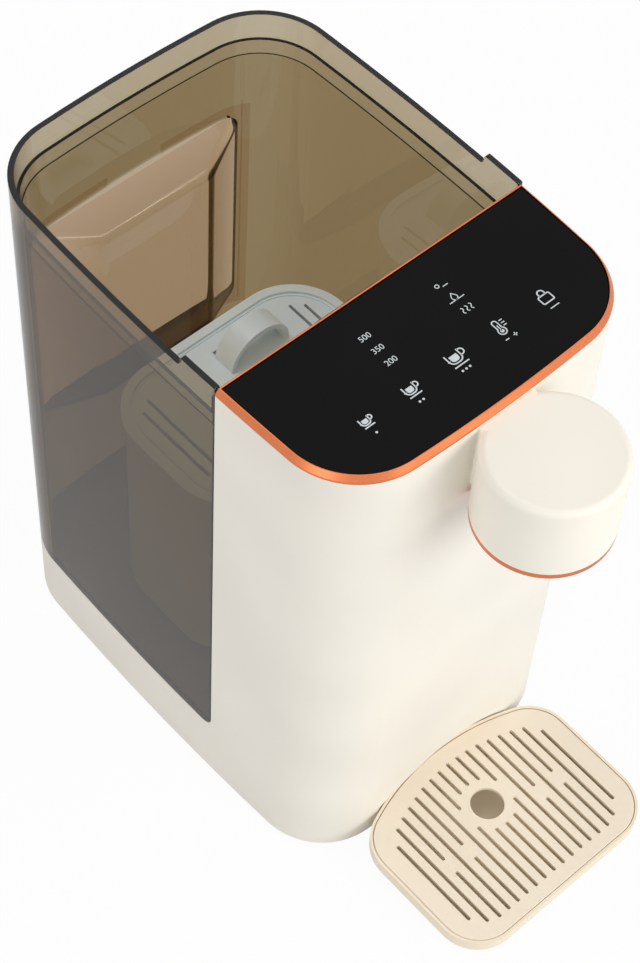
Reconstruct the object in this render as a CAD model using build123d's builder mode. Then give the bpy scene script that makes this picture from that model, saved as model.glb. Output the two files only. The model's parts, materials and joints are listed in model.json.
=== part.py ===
from build123d import *
import os

os.makedirs("parts", exist_ok=True)

# Instant hot water dispenser: a front tower with heater and pump, a low base behind it,
# a transparent tank that lifts off the base, and a drip tray that pulls out at the front.
# X runs across, -Y is the front, Z is up, z = 0 is the table.
# Lengths along Y are measured from the split line between tower and tank.

# Outline of the body in plan
body_width = 155.0
side_bulge = 3.7
front_reach = 70.5
back_reach = 145.4
end_bulge = 3.4
corner_radius = 33.4

# Heights
foot_height = 2.0
deck_top = 38.5
shell_top = 280.4
panel_top = 284.0

# Walls, gaps and cuts
shell_wall = 2.5
seat_gap = 0.3
running_gap = 0.05
fit_gap = 0.1
overrun = 1.0

# Drip tray
tray_width = 112.0
tray_reach = 149.3
tray_back_y = 63.6
tray_back_radius = 117.0
tray_corner = 20.0
tray_top = 14.1
scoop_gap = 0.8
scoop_rise = 16.0
scoop_angle = 26

# Spout
spout_y = 95.5
spout_radius = 27.8
spout_top = 279.9
spout_bottom = 239.0

# Screws that repeat
screw_radius = 1.5
screw_head_radius = 2.7
screw_head_height = 2.0
screw_length = 9.0
boss_radius = 4.0

# Hoses and the stubs that they are pushed on
stub_radius = 4.0
stub_bore = 2.8
hose_radius = 5.5
hose_bend = 12.0

# The split line lies where the whole appliance is centred on the origin
split_y = (tray_reach - back_reach) / 2
mid_reach = (back_reach - front_reach) / 2
corner_x = body_width / 2 - side_bulge
half_length = (back_reach + front_reach) / 2 - end_bulge
scoop_centre_y = -(tray_back_y + tray_back_radius)


def level(height):
    """Horizontal work plane at a height, with its origin on the split line."""
    return Plane((0, split_y, height))


def upright(y):
    """Work plane that faces the front; its own axes are X and Z."""
    return Plane((0, split_y + y, 0), x_dir=(1, 0, 0), z_dir=(0, -1, 0))


def sideways(x):
    """Work plane that faces the right side; its own axes are Y and Z."""
    return Plane((x, split_y, 0), x_dir=(0, 1, 0), z_dir=(1, 0, 0))


def bow_radius(half_chord, bulge):
    """Radius of the arc over a chord that bulges by the given height."""
    return (half_chord**2 + bulge**2) / (2 * bulge)


def footprint(inset):
    """Plan outline of the body with its four bowed sides, drawn in by an inset."""
    end = bow_radius(corner_x, end_bulge) - inset
    side = bow_radius(half_length, side_bulge) - inset
    with BuildSketch(Plane.XY) as outline:
        with Locations((0, end + inset - front_reach)):
            Circle(end)
        with Locations((0, back_reach - inset - end)):
            Circle(end, mode=Mode.INTERSECT)
        with Locations((side + inset - body_width / 2, mid_reach)):
            Circle(side, mode=Mode.INTERSECT)
        with Locations(Location((body_width / 2 - inset - side, mid_reach, 0), (0, 0, 180))):
            Circle(side, mode=Mode.INTERSECT)
        fillet(outline.vertices(), corner_radius - inset)
    return outline.sketch


def tower_plan(inset, back):
    """The footprint from a line at the back of the tower forwards."""
    with BuildSketch(Plane.XY) as outline:
        add(footprint(inset))
        with Locations((0, -back)):
            Rectangle(body_width, body_width, align=(Align.CENTER, Align.MAX), mode=Mode.INTERSECT)
    return outline.sketch


def tank_plan(inset, front):
    """The footprint from a line at the front of the tank backwards."""
    with BuildSketch(Plane.XY) as outline:
        add(footprint(inset))
        with Locations((0, front)):
            Rectangle(body_width, 2 * body_width, align=(Align.CENTER, Align.MIN), mode=Mode.INTERSECT)
    return outline.sketch


def tray_plan(inset):
    """Plan outline of the drip tray: straight front and sides, a bowed back edge."""
    with BuildSketch(Plane.XY) as outline:
        with Locations((0, inset - tray_reach)):
            Rectangle(tray_width - 2 * inset, tray_reach, align=(Align.CENTER, Align.MIN))
        with Locations((0, scoop_centre_y)):
            Circle(tray_back_radius - inset, mode=Mode.INTERSECT)
        fillet(outline.vertices(), tray_corner - inset)
    return outline.sketch


def scoop(grow):
    """The hollow in the tower's foot that the tray's back edge stands in, grown by a wall."""
    radius = tray_back_radius + scoop_gap + grow
    straight = tray_top + scoop_gap + grow
    with BuildPart() as hollow:
        with BuildSketch(level(0)):
            with Locations((0, scoop_centre_y)):
                Circle(radius)
        extrude(amount=straight)
        with BuildSketch(level(straight)):
            with Locations((0, scoop_centre_y)):
                Circle(radius)
        extrude(amount=scoop_rise, taper=scoop_angle)
    return hollow.part


def column(plane, places, radius, height, bore=0.0):
    """Round posts, rings or tubes that rise from a plane at the given places."""
    with BuildPart() as posts:
        with BuildSketch(plane):
            with Locations(*places):
                Circle(radius)
                if bore > 0:
                    Circle(bore, mode=Mode.SUBTRACT)
        extrude(amount=height)
    return posts.part


def screws(plane, places, length, way=1):
    """Pan head screws: the heads rise from the plane, the shanks run the other way."""
    with BuildPart() as group:
        add(column(plane, places, screw_head_radius, way * screw_head_height))
        add(column(plane, places, screw_radius, -way * length))
    return group.part


def hose(plane, stops):
    """Hose with straight runs through the stops, joined by tangent bends."""
    with BuildPart() as tube:
        with BuildLine(plane) as route:
            FilletPolyline(*stops, radius=hose_bend)
        with BuildSketch(Plane(route.line @ 0, z_dir=route.line % 0)):
            Circle(hose_radius)
            Circle(stub_radius, mode=Mode.SUBTRACT)
        sweep(path=route.line)
    return tube.part


def coil(radius, wire, height, turns):
    """Open spring that stands on z = 0 with its axis on Z."""
    with BuildPart() as spring:
        with BuildLine() as path:
            Helix(pitch=(height - 2 * wire) / turns, height=height - 2 * wire, radius=radius,
                  center=(0, 0, wire))
        with BuildSketch(Plane(path.line @ 0, z_dir=path.line % 0)):
            Circle(wire)
        sweep(path=path.line, is_frenet=True)
    return spring.part


def save(piece, name):
    """Label a finished piece and write its file."""
    piece.label = name
    export_step(piece, "parts/" + name + ".step")


# Main shell: tower and base in one moulding, open below and at the top
deck_thickness = 2.5
step_radius = 6.0
carrier_bottom = 272.0
carrier_ledge = 2.0
carrier_ledge_height = 4.0
plate_thickness = 3.5
plate_boss_top = 24.0
plate_boss_inset = 6.2
plate_boss_radius = 4.6
frame_side_gap = 25.5
frame_screw_inset = 6.0
water_inset = 27.0
valve_y = 56.0
socket_radius = 16.0
socket_flange = 22.0
socket_flange_height = 3.0
socket_screw_circle = 19.0
socket_screw_grip = 1.5
frame_screw_low = 66.0
frame_screw_high = 214.0
frame_back = 10.0
gland_x = -28.0
gland_z = 19.0
gland_radius = 5.0
spout_hose_z = 264.0
neck_width = 28.0
neck_height = 36.0
neck_screw_x = 9.2
neck_screw_z = 251.0
neck_hole = 7.0
pad_width = 30.0
pad_bottom = 244.0
pad_depth = 2.0

frame_right = body_width / 2 - frame_side_gap
frame_screw_x = frame_right - frame_screw_inset
water_x = frame_right - water_inset
plate_top = foot_height + plate_thickness
corner_arcs = footprint(plate_boss_inset).edges().filter_by(lambda e: e.radius < corner_radius)
plate_boss_places = [((arc @ 0.5).X, (arc @ 0.5).Y) for arc in corner_arcs]
frame_screw_places = [(x, z) for x in (-frame_screw_x, frame_screw_x)
                      for z in (frame_screw_low, frame_screw_high)]
socket_screw_places = [(water_x + socket_screw_circle * x, valve_y + socket_screw_circle * y)
                       for x, y in ((0, -1), (0, 1), (-1, 0), (1, 0))]
neck_screw_places = [(-neck_screw_x, neck_screw_z), (neck_screw_x, neck_screw_z)]
deck_bottom = deck_top - deck_thickness
tower_inner_y = front_reach - shell_wall

with BuildPart() as scoop_wall:
    with BuildSketch(level(foot_height)):
        add(footprint(0))
    extrude(amount=deck_top - foot_height)
    add(scoop(shell_wall), mode=Mode.INTERSECT)

with BuildPart() as main_shell:
    with BuildSketch(level(foot_height)):
        add(footprint(0))
    extrude(amount=deck_top - foot_height)
    with BuildSketch(level(deck_top)):
        add(tower_plan(0, 0))
    extrude(amount=shell_top - deck_top)
    inner_corner = main_shell.edges().filter_by(Axis.X).sort_by_distance((0, split_y, deck_top))[0]
    fillet(inner_corner, step_radius)
    with BuildSketch(level(foot_height)):
        add(footprint(shell_wall))
    extrude(amount=deck_bottom - foot_height, mode=Mode.SUBTRACT)
    with BuildSketch(level(deck_bottom)):
        add(tower_plan(shell_wall, shell_wall))
    extrude(amount=shell_top - deck_bottom, mode=Mode.SUBTRACT)
    # ledge for the panel carrier
    with BuildSketch(level(carrier_bottom - carrier_ledge_height)):
        add(tower_plan(shell_wall, shell_wall))
        add(tower_plan(shell_wall + carrier_ledge, shell_wall + carrier_ledge), mode=Mode.SUBTRACT)
    extrude(amount=carrier_ledge_height)
    # wall round the hollow for the tray
    add(scoop_wall.part)
    add(scoop(0), mode=Mode.SUBTRACT)
    # bosses for the bottom plate
    add(column(level(plate_top), plate_boss_places, plate_boss_radius, plate_boss_top - plate_top))
    add(column(level(plate_top), plate_boss_places, screw_radius, screw_length), mode=Mode.SUBTRACT)
    # bosses for the inner frame on the rear wall of the tower
    add(column(upright(-shell_wall), frame_screw_places, boss_radius, frame_back - shell_wall))
    add(column(upright(-frame_back), frame_screw_places, screw_radius, -(frame_back - shell_wall)),
        mode=Mode.SUBTRACT)
    # pad behind the neck with its screw holes and the way through for the hose
    with BuildSketch(upright(pad_depth - tower_inner_y)):
        with Locations((0, pad_bottom)):
            Rectangle(pad_width, carrier_bottom - carrier_ledge_height - pad_bottom,
                      align=(Align.CENTER, Align.MIN))
    extrude(amount=pad_depth + end_bulge / 2)
    add(column(upright(pad_depth - tower_inner_y), neck_screw_places, screw_radius,
               pad_depth + 2 * shell_wall), mode=Mode.SUBTRACT)
    add(column(upright(pad_depth + overrun - tower_inner_y), [(0, spout_hose_z)], neck_hole,
               pad_depth + 2 * shell_wall), mode=Mode.SUBTRACT)
    # way through the deck for the tank socket, screw holes round it
    add(column(level(deck_bottom - overrun), [(water_x, valve_y)], socket_radius,
               deck_thickness + 2 * overrun), mode=Mode.SUBTRACT)
    add(column(level(deck_bottom), socket_screw_places, screw_radius, socket_screw_grip), mode=Mode.SUBTRACT)
    # hole for the cord gland
    add(column(upright(back_reach + overrun), [(gland_x, gland_z)], gland_radius, 2 * shell_wall + overrun),
        mode=Mode.SUBTRACT)
save(main_shell.part, "main_shell")

# Bottom plate with air slots, its screws and the rubber feet
vent_length = 40.0
vent_width = 3.0
vent_pitch = 8.0
vent_count = 6
vent_y = -10.0
head_gap = 0.2
foot_radius = 9.0
foot_stud_radius = 3.0
foot_stud_height = 2.0
foot_side_gap = 27.5
front_foot_y = -30.0
back_foot_gap = 29.4

foot_x = body_width / 2 - foot_side_gap
back_foot_y = back_reach - back_foot_gap
foot_places = [(x, y) for x in (-foot_x, foot_x) for y in (front_foot_y, back_foot_y)]

with BuildPart() as bottom_plate:
    with BuildSketch(level(foot_height)):
        add(footprint(shell_wall + seat_gap))
    extrude(amount=plate_thickness)
    add(scoop(shell_wall + seat_gap), mode=Mode.SUBTRACT)
    with BuildSketch(level(foot_height)):
        with Locations((0, vent_y)):
            with GridLocations(0, vent_pitch, 1, vent_count):
                SlotOverall(vent_length, vent_width)
    extrude(amount=plate_thickness, mode=Mode.SUBTRACT)
    add(column(level(foot_height), plate_boss_places, screw_radius, plate_thickness), mode=Mode.SUBTRACT)
    add(column(level(foot_height), plate_boss_places, screw_head_radius + head_gap,
               screw_head_height + head_gap), mode=Mode.SUBTRACT)
    add(column(level(foot_height), foot_places, foot_stud_radius, foot_stud_height), mode=Mode.SUBTRACT)
save(bottom_plate.part, "bottom_plate")

with BuildPart() as bottom_screws:
    add(screws(level(foot_height + head_gap + screw_head_height), plate_boss_places, screw_length, way=-1))
save(bottom_screws.part, "bottom_screws")

with BuildPart() as feet:
    add(column(level(0), foot_places, foot_radius, foot_height))
    rims = feet.edges().filter_by(GeomType.CIRCLE).group_by(Axis.Z)[0]
    chamfer(rims, foot_height / 4)
    add(column(level(foot_height), foot_places, foot_stud_radius, foot_stud_height))
save(feet.part, "feet")

# Trim ring round the touch panel, with the ledge that carries the glass
trim_lip = 1.9
back_bar = 0.9
trim_bevel = 1.5
trim_bevel_height = 2.6
trim_edge = 0.3
glass_top = 283.7
glass_thickness = 2.5
glass_ledge = 5.0
carrier_thickness = 2.0

glass_bottom = glass_top - glass_thickness
carrier_top = carrier_bottom + carrier_thickness

with BuildPart() as trim_ring:
    with BuildSketch(level(shell_top)):
        add(tower_plan(0, 0))
    extrude(amount=panel_top - shell_top)
    rim_face = trim_ring.faces().sort_by(Axis.Z)[-1]
    bowed_rim = rim_face.edges().sort_by(Axis.Y)[:-1]
    chamfer(bowed_rim, trim_bevel, trim_bevel_height, reference=rim_face)
    chamfer(trim_ring.faces().sort_by(Axis.Z)[-1].edges().sort_by(Axis.Y)[-1], trim_edge)
    with BuildSketch(level(glass_bottom)):
        add(tower_plan(trim_lip, back_bar))
    extrude(amount=panel_top - glass_bottom, mode=Mode.SUBTRACT)
    with BuildSketch(level(carrier_top)):
        add(tower_plan(shell_wall, shell_wall))
    extrude(amount=shell_top - carrier_top)
    with BuildSketch(level(carrier_top)):
        add(tower_plan(glass_ledge, glass_ledge))
    extrude(amount=glass_bottom - carrier_top, mode=Mode.SUBTRACT)
save(trim_ring.part, "trim_ring")

# Glass, and the stack of carrier, touch board, springs and light guide below it
glass_edge = 0.4

with BuildPart() as glass_panel:
    with BuildSketch(level(glass_bottom)):
        add(tower_plan(trim_lip + fit_gap, back_bar + fit_gap))
    extrude(amount=glass_thickness)
    chamfer(glass_panel.faces().sort_by(Axis.Z)[-1].edges(), glass_edge)
save(glass_panel.part, "glass_panel")

key_y = -45.0
key_count = 5
key_inset = 15.5
key_shift = -1.1
key_well = 5.0
board_side_gap = 17.5
board_front = -50.0
board_back = -8.0
board_thickness = 1.6
board_screw_inset = 3.5
board_screw_front = -43.0
board_screw_back = -13.0
board_screw_length = 6.0
carrier_boss = 5.0
carrier_slot_half = 30.0
carrier_slot_depth = 14.0
guide_inset = 8.0
guide_front = -51.0
guide_back = -9.0
window_half = 9.0
window_x = 19.0
window_front = -34.0
window_back = -13.0
touch_coil_radius = 3.2
touch_wire = 0.3
touch_turns = 4

board_bottom = carrier_top
board_top = board_bottom + board_thickness
board_half = body_width / 2 - board_side_gap
board_screw_x = board_half - board_screw_inset
guide_half = board_half - guide_inset
guide_top = glass_bottom - fit_gap
key_pitch = 2 * (board_half - key_inset) / (key_count - 1)
key_places = [(key_shift + (key - (key_count - 1) / 2) * key_pitch, key_y) for key in range(key_count)]
board_screw_places = [(x, y) for x in (-board_screw_x, board_screw_x)
                      for y in (board_screw_front, board_screw_back)]

with BuildPart() as panel_carrier:
    with BuildSketch(level(carrier_bottom)):
        add(tower_plan(shell_wall + fit_gap, shell_wall + fit_gap))
        with Locations((0, (board_front + board_back) / 2)):
            SlotOverall(2 * carrier_slot_half, carrier_slot_depth, mode=Mode.SUBTRACT)
    extrude(amount=carrier_thickness)
    add(column(level(carrier_bottom), board_screw_places, boss_radius, -carrier_boss))
    add(column(level(carrier_top), board_screw_places, screw_radius, board_thickness - board_screw_length),
        mode=Mode.SUBTRACT)
save(panel_carrier.part, "panel_carrier")

with BuildPart() as touch_board:
    with BuildSketch(level(board_bottom)):
        with Locations((0, board_back)):
            Rectangle(2 * board_half, board_back - board_front, align=(Align.CENTER, Align.MAX))
    extrude(amount=board_thickness)
    fillet(touch_board.edges().filter_by(Axis.Z), boss_radius)
    add(column(level(board_bottom), board_screw_places, screw_radius, board_thickness), mode=Mode.SUBTRACT)
save(touch_board.part, "touch_board")

with BuildPart() as board_screws:
    add(screws(level(board_top), board_screw_places, board_screw_length))
save(board_screws.part, "board_screws")

with BuildPart() as light_guide:
    with BuildSketch(level(board_top)):
        with Locations((0, guide_back)):
            Rectangle(2 * guide_half, guide_back - guide_front, align=(Align.CENTER, Align.MAX))
        with Locations(*key_places):
            Circle(key_well, mode=Mode.SUBTRACT)
        with Locations((-window_x, window_back), (window_x, window_back)):
            Rectangle(2 * window_half, window_back - window_front, align=(Align.CENTER, Align.MAX),
                      mode=Mode.SUBTRACT)
    extrude(amount=guide_top - board_top)
save(light_guide.part, "light_guide")

touch_spring = coil(touch_coil_radius, touch_wire, guide_top - board_top, touch_turns)
with BuildPart() as touch_springs:
    with Locations(*[(x, split_y + y, board_top) for x, y in key_places]):
        add(touch_spring)
save(touch_springs.part, "touch_springs")

# Spout: cover with its neck, ring, floor, nozzle and seal
ring_height = 3.0
spout_wall = 2.2
spout_edge = 3.0
neck_corner = 2.0
neck_boss = 3.0
neck_boss_length = 7.0
neck_screw_length = 9.5
spout_screw_x = 17.0
spout_boss = 3.2
spout_screw_length = 8.0
ring_lip_height = 4.0
ring_lip = 1.2
floor_thickness = 2.0
nozzle_radius = 5.0
nozzle_bore = 3.0
nozzle_bottom = 236.0
nozzle_flange = 9.0
nozzle_flange_height = 2.0
nozzle_barb_top = 251.5
seal_section = 1.0

ring_top = spout_bottom + ring_height
floor_bottom = spout_bottom + screw_head_height + head_gap
floor_top = floor_bottom + floor_thickness
spout_inner = spout_radius - spout_wall
ring_inner = spout_inner - fit_gap - ring_lip
spout_screw_places = [(-spout_screw_x, -spout_y), (spout_screw_x, -spout_y)]
neck_middle = spout_top - neck_height / 2

with BuildPart() as spout_cover:
    with BuildSketch(level(ring_top)):
        with Locations((0, -spout_y)):
            Circle(spout_radius)
    extrude(amount=spout_top - ring_top)
    fillet(spout_cover.edges().sort_by(Axis.Z)[-1], spout_edge)
    with BuildSketch(upright(-spout_y)):
        with Locations((0, neck_middle)):
            RectangleRounded(neck_width, neck_height, neck_corner)
    extrude(amount=tower_inner_y - spout_y)
    with BuildSketch(level(ring_top)):
        with Locations((0, -spout_y)):
            Circle(spout_inner)
    extrude(amount=spout_top - spout_wall - ring_top, mode=Mode.SUBTRACT)
    with BuildSketch(upright(-spout_y)):
        with Locations((0, neck_middle)):
            Rectangle(neck_width - 2 * spout_wall, neck_height - 2 * spout_wall)
    extrude(amount=tower_inner_y - spout_y, mode=Mode.SUBTRACT)
    # posts for the floor and for the screws through the tower's wall
    add(column(level(floor_top), spout_screw_places, spout_boss, spout_top - spout_wall - floor_top))
    add(column(level(floor_top), spout_screw_places, screw_radius, spout_screw_length - floor_thickness),
        mode=Mode.SUBTRACT)
    add(column(upright(-tower_inner_y), neck_screw_places, neck_boss, neck_boss_length + shell_wall))
    add(column(upright(-tower_inner_y), neck_screw_places, screw_radius, neck_screw_length - pad_depth),
        mode=Mode.SUBTRACT)
    with BuildSketch(level(ring_top)):
        add(footprint(0))
    extrude(amount=panel_top - ring_top, mode=Mode.SUBTRACT)
save(spout_cover.part, "spout_cover")

with BuildPart() as spout_ring:
    with BuildSketch(level(spout_bottom)):
        with Locations((0, -spout_y)):
            Circle(spout_radius)
    extrude(amount=ring_height)
    fillet(spout_ring.edges().sort_by(Axis.Z)[0], ring_height / 4)
    add(column(level(ring_top), [(0, -spout_y)], ring_inner + ring_lip, ring_lip_height))
    add(column(level(spout_bottom), [(0, -spout_y)], ring_inner, ring_height + ring_lip_height),
        mode=Mode.SUBTRACT)
    with BuildSketch(level(spout_bottom)):
        add(footprint(0))
    extrude(amount=ring_height + ring_lip_height, mode=Mode.SUBTRACT)
save(spout_ring.part, "spout_ring")

with BuildPart() as spout_floor:
    add(column(level(floor_bottom), [(0, -spout_y)], ring_inner, floor_thickness,
               bore=nozzle_radius + 2 * fit_gap + seal_section))
    add(column(level(floor_bottom), spout_screw_places, screw_radius, floor_thickness), mode=Mode.SUBTRACT)
save(spout_floor.part, "spout_floor")

with BuildPart() as spout_screws:
    add(screws(level(floor_bottom), spout_screw_places, spout_screw_length, way=-1))
    add(screws(upright(pad_depth - tower_inner_y), neck_screw_places, neck_screw_length, way=-1))
save(spout_screws.part, "spout_screws")

with BuildPart() as nozzle:
    add(column(level(nozzle_bottom), [(0, -spout_y)], nozzle_radius, floor_top - nozzle_bottom))
    add(column(level(floor_top), [(0, -spout_y)], nozzle_flange, nozzle_flange_height))
    add(column(level(floor_top), [(0, -spout_y)], stub_radius, nozzle_barb_top - floor_top))
    add(column(level(nozzle_bottom), [(0, -spout_y)], stub_bore, nozzle_barb_top - nozzle_bottom),
        mode=Mode.SUBTRACT)
save(nozzle.part, "nozzle")

with BuildPart() as nozzle_seal:
    add(column(level(floor_bottom + fit_gap), [(0, -spout_y)], nozzle_radius + fit_gap + seal_section,
               floor_thickness - 2 * fit_gap, bore=nozzle_radius + fit_gap))
save(nozzle_seal.part, "nozzle_seal")

# Steam separator under the panel and the hose from it to the nozzle
water_y = -36.0
heater_x = -28.0
separator_left = -41.0
separator_right = 12.0
separator_front = -53.0
separator_back = -20.0
separator_bottom = 242.0
separator_height = 28.0
separator_wall = 2.0
frame_thickness = 2.0
stub_length = 10.0
post_radius = 3.0
separator_post_z = 250.0
hose_bite = 8.0

frame_front = frame_back + frame_thickness
separator_top = separator_bottom + separator_height
separator_gap = -frame_front - separator_back
separator_post_places = [(heater_x, separator_post_z), (0, separator_post_z)]

with BuildPart() as steam_separator:
    with BuildSketch(level(separator_bottom)):
        with Locations((separator_left, separator_front)):
            Rectangle(separator_right - separator_left, separator_back - separator_front,
                      align=(Align.MIN, Align.MIN))
    extrude(amount=separator_top - separator_bottom)
    fillet(steam_separator.edges(), separator_wall)
    with BuildSketch(level(separator_bottom + separator_wall)):
        with Locations((separator_left + separator_wall, separator_front + separator_wall)):
            Rectangle(separator_right - separator_left - 2 * separator_wall,
                      separator_back - separator_front - 2 * separator_wall, align=(Align.MIN, Align.MIN))
    extrude(amount=separator_top - separator_bottom - 2 * separator_wall, mode=Mode.SUBTRACT)
    add(column(upright(separator_back), separator_post_places, post_radius, -separator_gap))
    add(column(level(separator_bottom), [(heater_x, water_y)], stub_radius, -stub_length))
    add(column(upright(separator_front), [(0, spout_hose_z)], stub_radius, stub_length))
    add(column(level(separator_bottom - stub_length), [(heater_x, water_y)], stub_bore,
               stub_length + 2 * separator_wall), mode=Mode.SUBTRACT)
    add(column(upright(separator_front + 2 * separator_wall), [(0, spout_hose_z)], stub_bore,
               stub_length + 2 * separator_wall), mode=Mode.SUBTRACT)
save(steam_separator.part, "steam_separator")

with BuildPart() as outlet_hose:
    add(hose(sideways(0), [(separator_front - stub_length + hose_bite, spout_hose_z),
                           (-spout_y, spout_hose_z), (-spout_y, floor_top + nozzle_flange_height)]))
save(outlet_hose.part, "outlet_hose")

# Inner frame: upright plate with a flange for the power board and a shelf for the pump
frame_left = -52.0
frame_bottom = 30.0
frame_top = 262.0
frame_corner = 4.0
flange_front = -50.0
flange_bottom = 108.0
flange_top = 236.0
shelf_reach = 23.0
shelf_front = -58.0
shelf_z = 38.0
shelf_hole = 9.0
power_board_gap = 4.0
power_board_low = 114.0
power_board_high = 230.0
power_board_front = -48.0
power_board_back = -16.0
power_screw_inset = 4.0
bracket_screw_x = 13.0
bracket_z = 163.0
bracket_thickness = 2.0
bracket_screw_length = 5.0

shelf_left = water_x - shelf_reach
power_screw_places = [(end, rise)
                      for end in (power_board_front + power_screw_inset, power_board_back - power_screw_inset)
                      for rise in (power_board_low + power_screw_inset, power_board_high - power_screw_inset)]
bracket_screw_places = [(heater_x - bracket_screw_x, bracket_z), (heater_x + bracket_screw_x, bracket_z)]

with BuildPart() as module_frame:
    with BuildSketch(upright(-frame_back)) as frame_outline:
        with Locations((frame_left, frame_bottom)):
            Rectangle(frame_right - frame_left, frame_top - frame_bottom, align=(Align.MIN, Align.MIN))
        fillet(frame_outline.vertices(), frame_corner)
    extrude(amount=frame_thickness)
    with BuildSketch(sideways(frame_right)):
        with Locations((-frame_back, flange_bottom)):
            Rectangle(-frame_back - flange_front, flange_top - flange_bottom, align=(Align.MAX, Align.MIN))
    extrude(amount=-frame_thickness)
    with BuildSketch(level(shelf_z)):
        with Locations((frame_right, -frame_back)):
            Rectangle(frame_right - shelf_left, -frame_back - shelf_front, align=(Align.MAX, Align.MAX))
        with Locations((water_x, water_y)):
            Circle(shelf_hole, mode=Mode.SUBTRACT)
    extrude(amount=-frame_thickness)
    add(column(upright(-frame_back), frame_screw_places, screw_radius, frame_thickness), mode=Mode.SUBTRACT)
    add(column(upright(-frame_back), bracket_screw_places, screw_radius, frame_thickness), mode=Mode.SUBTRACT)
    add(column(sideways(frame_right), power_screw_places, screw_radius, -frame_thickness), mode=Mode.SUBTRACT)
save(module_frame.part, "module_frame")

with BuildPart() as frame_screws:
    add(screws(upright(-frame_front), frame_screw_places, screw_length))
    add(screws(upright(-frame_front - bracket_thickness), bracket_screw_places, bracket_screw_length))
save(frame_screws.part, "frame_screws")

# Power board with its parts, spacers and screws
power_board_thickness = 1.6
spacer_radius = 3.0
power_screw_length = 8.0
component_height = 11.0
# place along the board and up it, depth, height and thickness
component_shares = [(0.50, 0.84, 0.62, 0.14, 0.9), (0.47, 0.53, 0.56, 0.17, 1.0),
                    (0.50, 0.29, 0.50, 0.12, 0.8), (0.50, 0.10, 0.60, 0.09, 0.8)]

power_board_x = frame_right + power_board_gap
power_board_face = power_board_x + power_board_thickness
power_board_depth = power_board_back - power_board_front
power_board_height = power_board_high - power_board_low

with BuildPart() as board_spacers:
    add(column(sideways(frame_right), power_screw_places, spacer_radius, power_board_gap, bore=screw_radius))
save(board_spacers.part, "board_spacers")

with BuildPart() as power_board:
    with BuildSketch(sideways(power_board_x)):
        with Locations((power_board_front, power_board_low)):
            Rectangle(power_board_depth, power_board_height, align=(Align.MIN, Align.MIN))
    extrude(amount=power_board_thickness)
    add(column(sideways(power_board_x), power_screw_places, screw_radius, power_board_thickness),
        mode=Mode.SUBTRACT)
save(power_board.part, "power_board")

with BuildPart() as board_components:
    for along, up, depth, height, thickness in component_shares:
        with BuildSketch(sideways(power_board_face)):
            with Locations((power_board_front + along * power_board_depth,
                            power_board_low + up * power_board_height)):
                RectangleRounded(depth * power_board_depth, height * power_board_height, screw_radius)
        extrude(amount=thickness * component_height)
save(board_components.part, "board_components")

with BuildPart() as power_screws:
    add(screws(sideways(power_board_face), power_screw_places, power_screw_length))
save(power_screws.part, "power_screws")

# Pump: housing on rubber mounts, impeller and motor
mount_radius = 4.0
mount_height = 4.0
mount_ring = 14.0
mount_count = 3
pump_radius = 20.0
pump_height = 18.0
pump_wall = 3.0
impeller_radius = 15.0
impeller_base = 2.0
impeller_gap = 1.0
impeller_blade = 1.4
impeller_blade_height = 6.0
impeller_hub = 4.0
impeller_count = 6
shaft_radius = 1.5
shaft_bite = 12.0
shaft_end_gap = 1.0
motor_radius = 17.0
motor_height = 40.0
motor_boss = 5.0
motor_boss_height = 3.0
motor_edge = 1.5

pump_bottom = shelf_z + mount_height
pump_top = pump_bottom + pump_height
pump_middle = pump_bottom + pump_height / 2
pump_place = [(water_x, water_y)]
impeller_bottom = pump_bottom + pump_wall + impeller_gap
pump_reach = pump_radius + stub_length

with BuildPart() as pump_mounts:
    with BuildSketch(level(shelf_z)):
        with Locations(*pump_place):
            with PolarLocations(mount_ring, mount_count, start_angle=90):
                Circle(mount_radius)
    extrude(amount=mount_height)
save(pump_mounts.part, "pump_mounts")

with BuildPart() as pump_housing:
    add(column(level(pump_bottom), pump_place, pump_radius, pump_height))
    add(column(level(pump_bottom), pump_place, stub_radius, -stub_length))
    add(column(sideways(water_x), [(water_y, pump_middle)], stub_radius, -pump_reach))
    add(column(level(pump_bottom + pump_wall), pump_place, pump_radius - pump_wall,
               pump_height - 2 * pump_wall), mode=Mode.SUBTRACT)
    add(column(level(pump_bottom - stub_length), pump_place, stub_bore, stub_length + pump_wall),
        mode=Mode.SUBTRACT)
    add(column(sideways(water_x), [(water_y, pump_middle)], stub_bore, -pump_reach), mode=Mode.SUBTRACT)
    add(column(level(pump_top - pump_wall), pump_place, shaft_radius + running_gap, pump_wall),
        mode=Mode.SUBTRACT)
save(pump_housing.part, "pump_housing")

with BuildPart() as pump_impeller:
    add(column(level(impeller_bottom), pump_place, impeller_radius, impeller_base))
    add(column(level(impeller_bottom), pump_place, impeller_hub, impeller_base + impeller_blade_height))
    add(column(level(impeller_bottom), pump_place, shaft_radius, pump_top + shaft_bite - impeller_bottom))
    with BuildSketch(level(impeller_bottom)):
        with Locations(*pump_place):
            with PolarLocations(0, impeller_count):
                Rectangle(impeller_radius, impeller_blade, align=(Align.MIN, Align.CENTER))
    extrude(amount=impeller_base + impeller_blade_height)
save(pump_impeller.part, "pump_impeller")

with BuildPart() as pump_motor:
    add(column(level(pump_top), pump_place, motor_radius, motor_height))
    fillet(pump_motor.edges().sort_by(Axis.Z)[-1], motor_edge)
    add(column(level(pump_top + motor_height), pump_place, motor_boss, motor_boss_height))
    add(column(level(pump_top), pump_place, shaft_radius + running_gap, shaft_bite + shaft_end_gap),
        mode=Mode.SUBTRACT)
save(pump_motor.part, "pump_motor")

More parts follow.
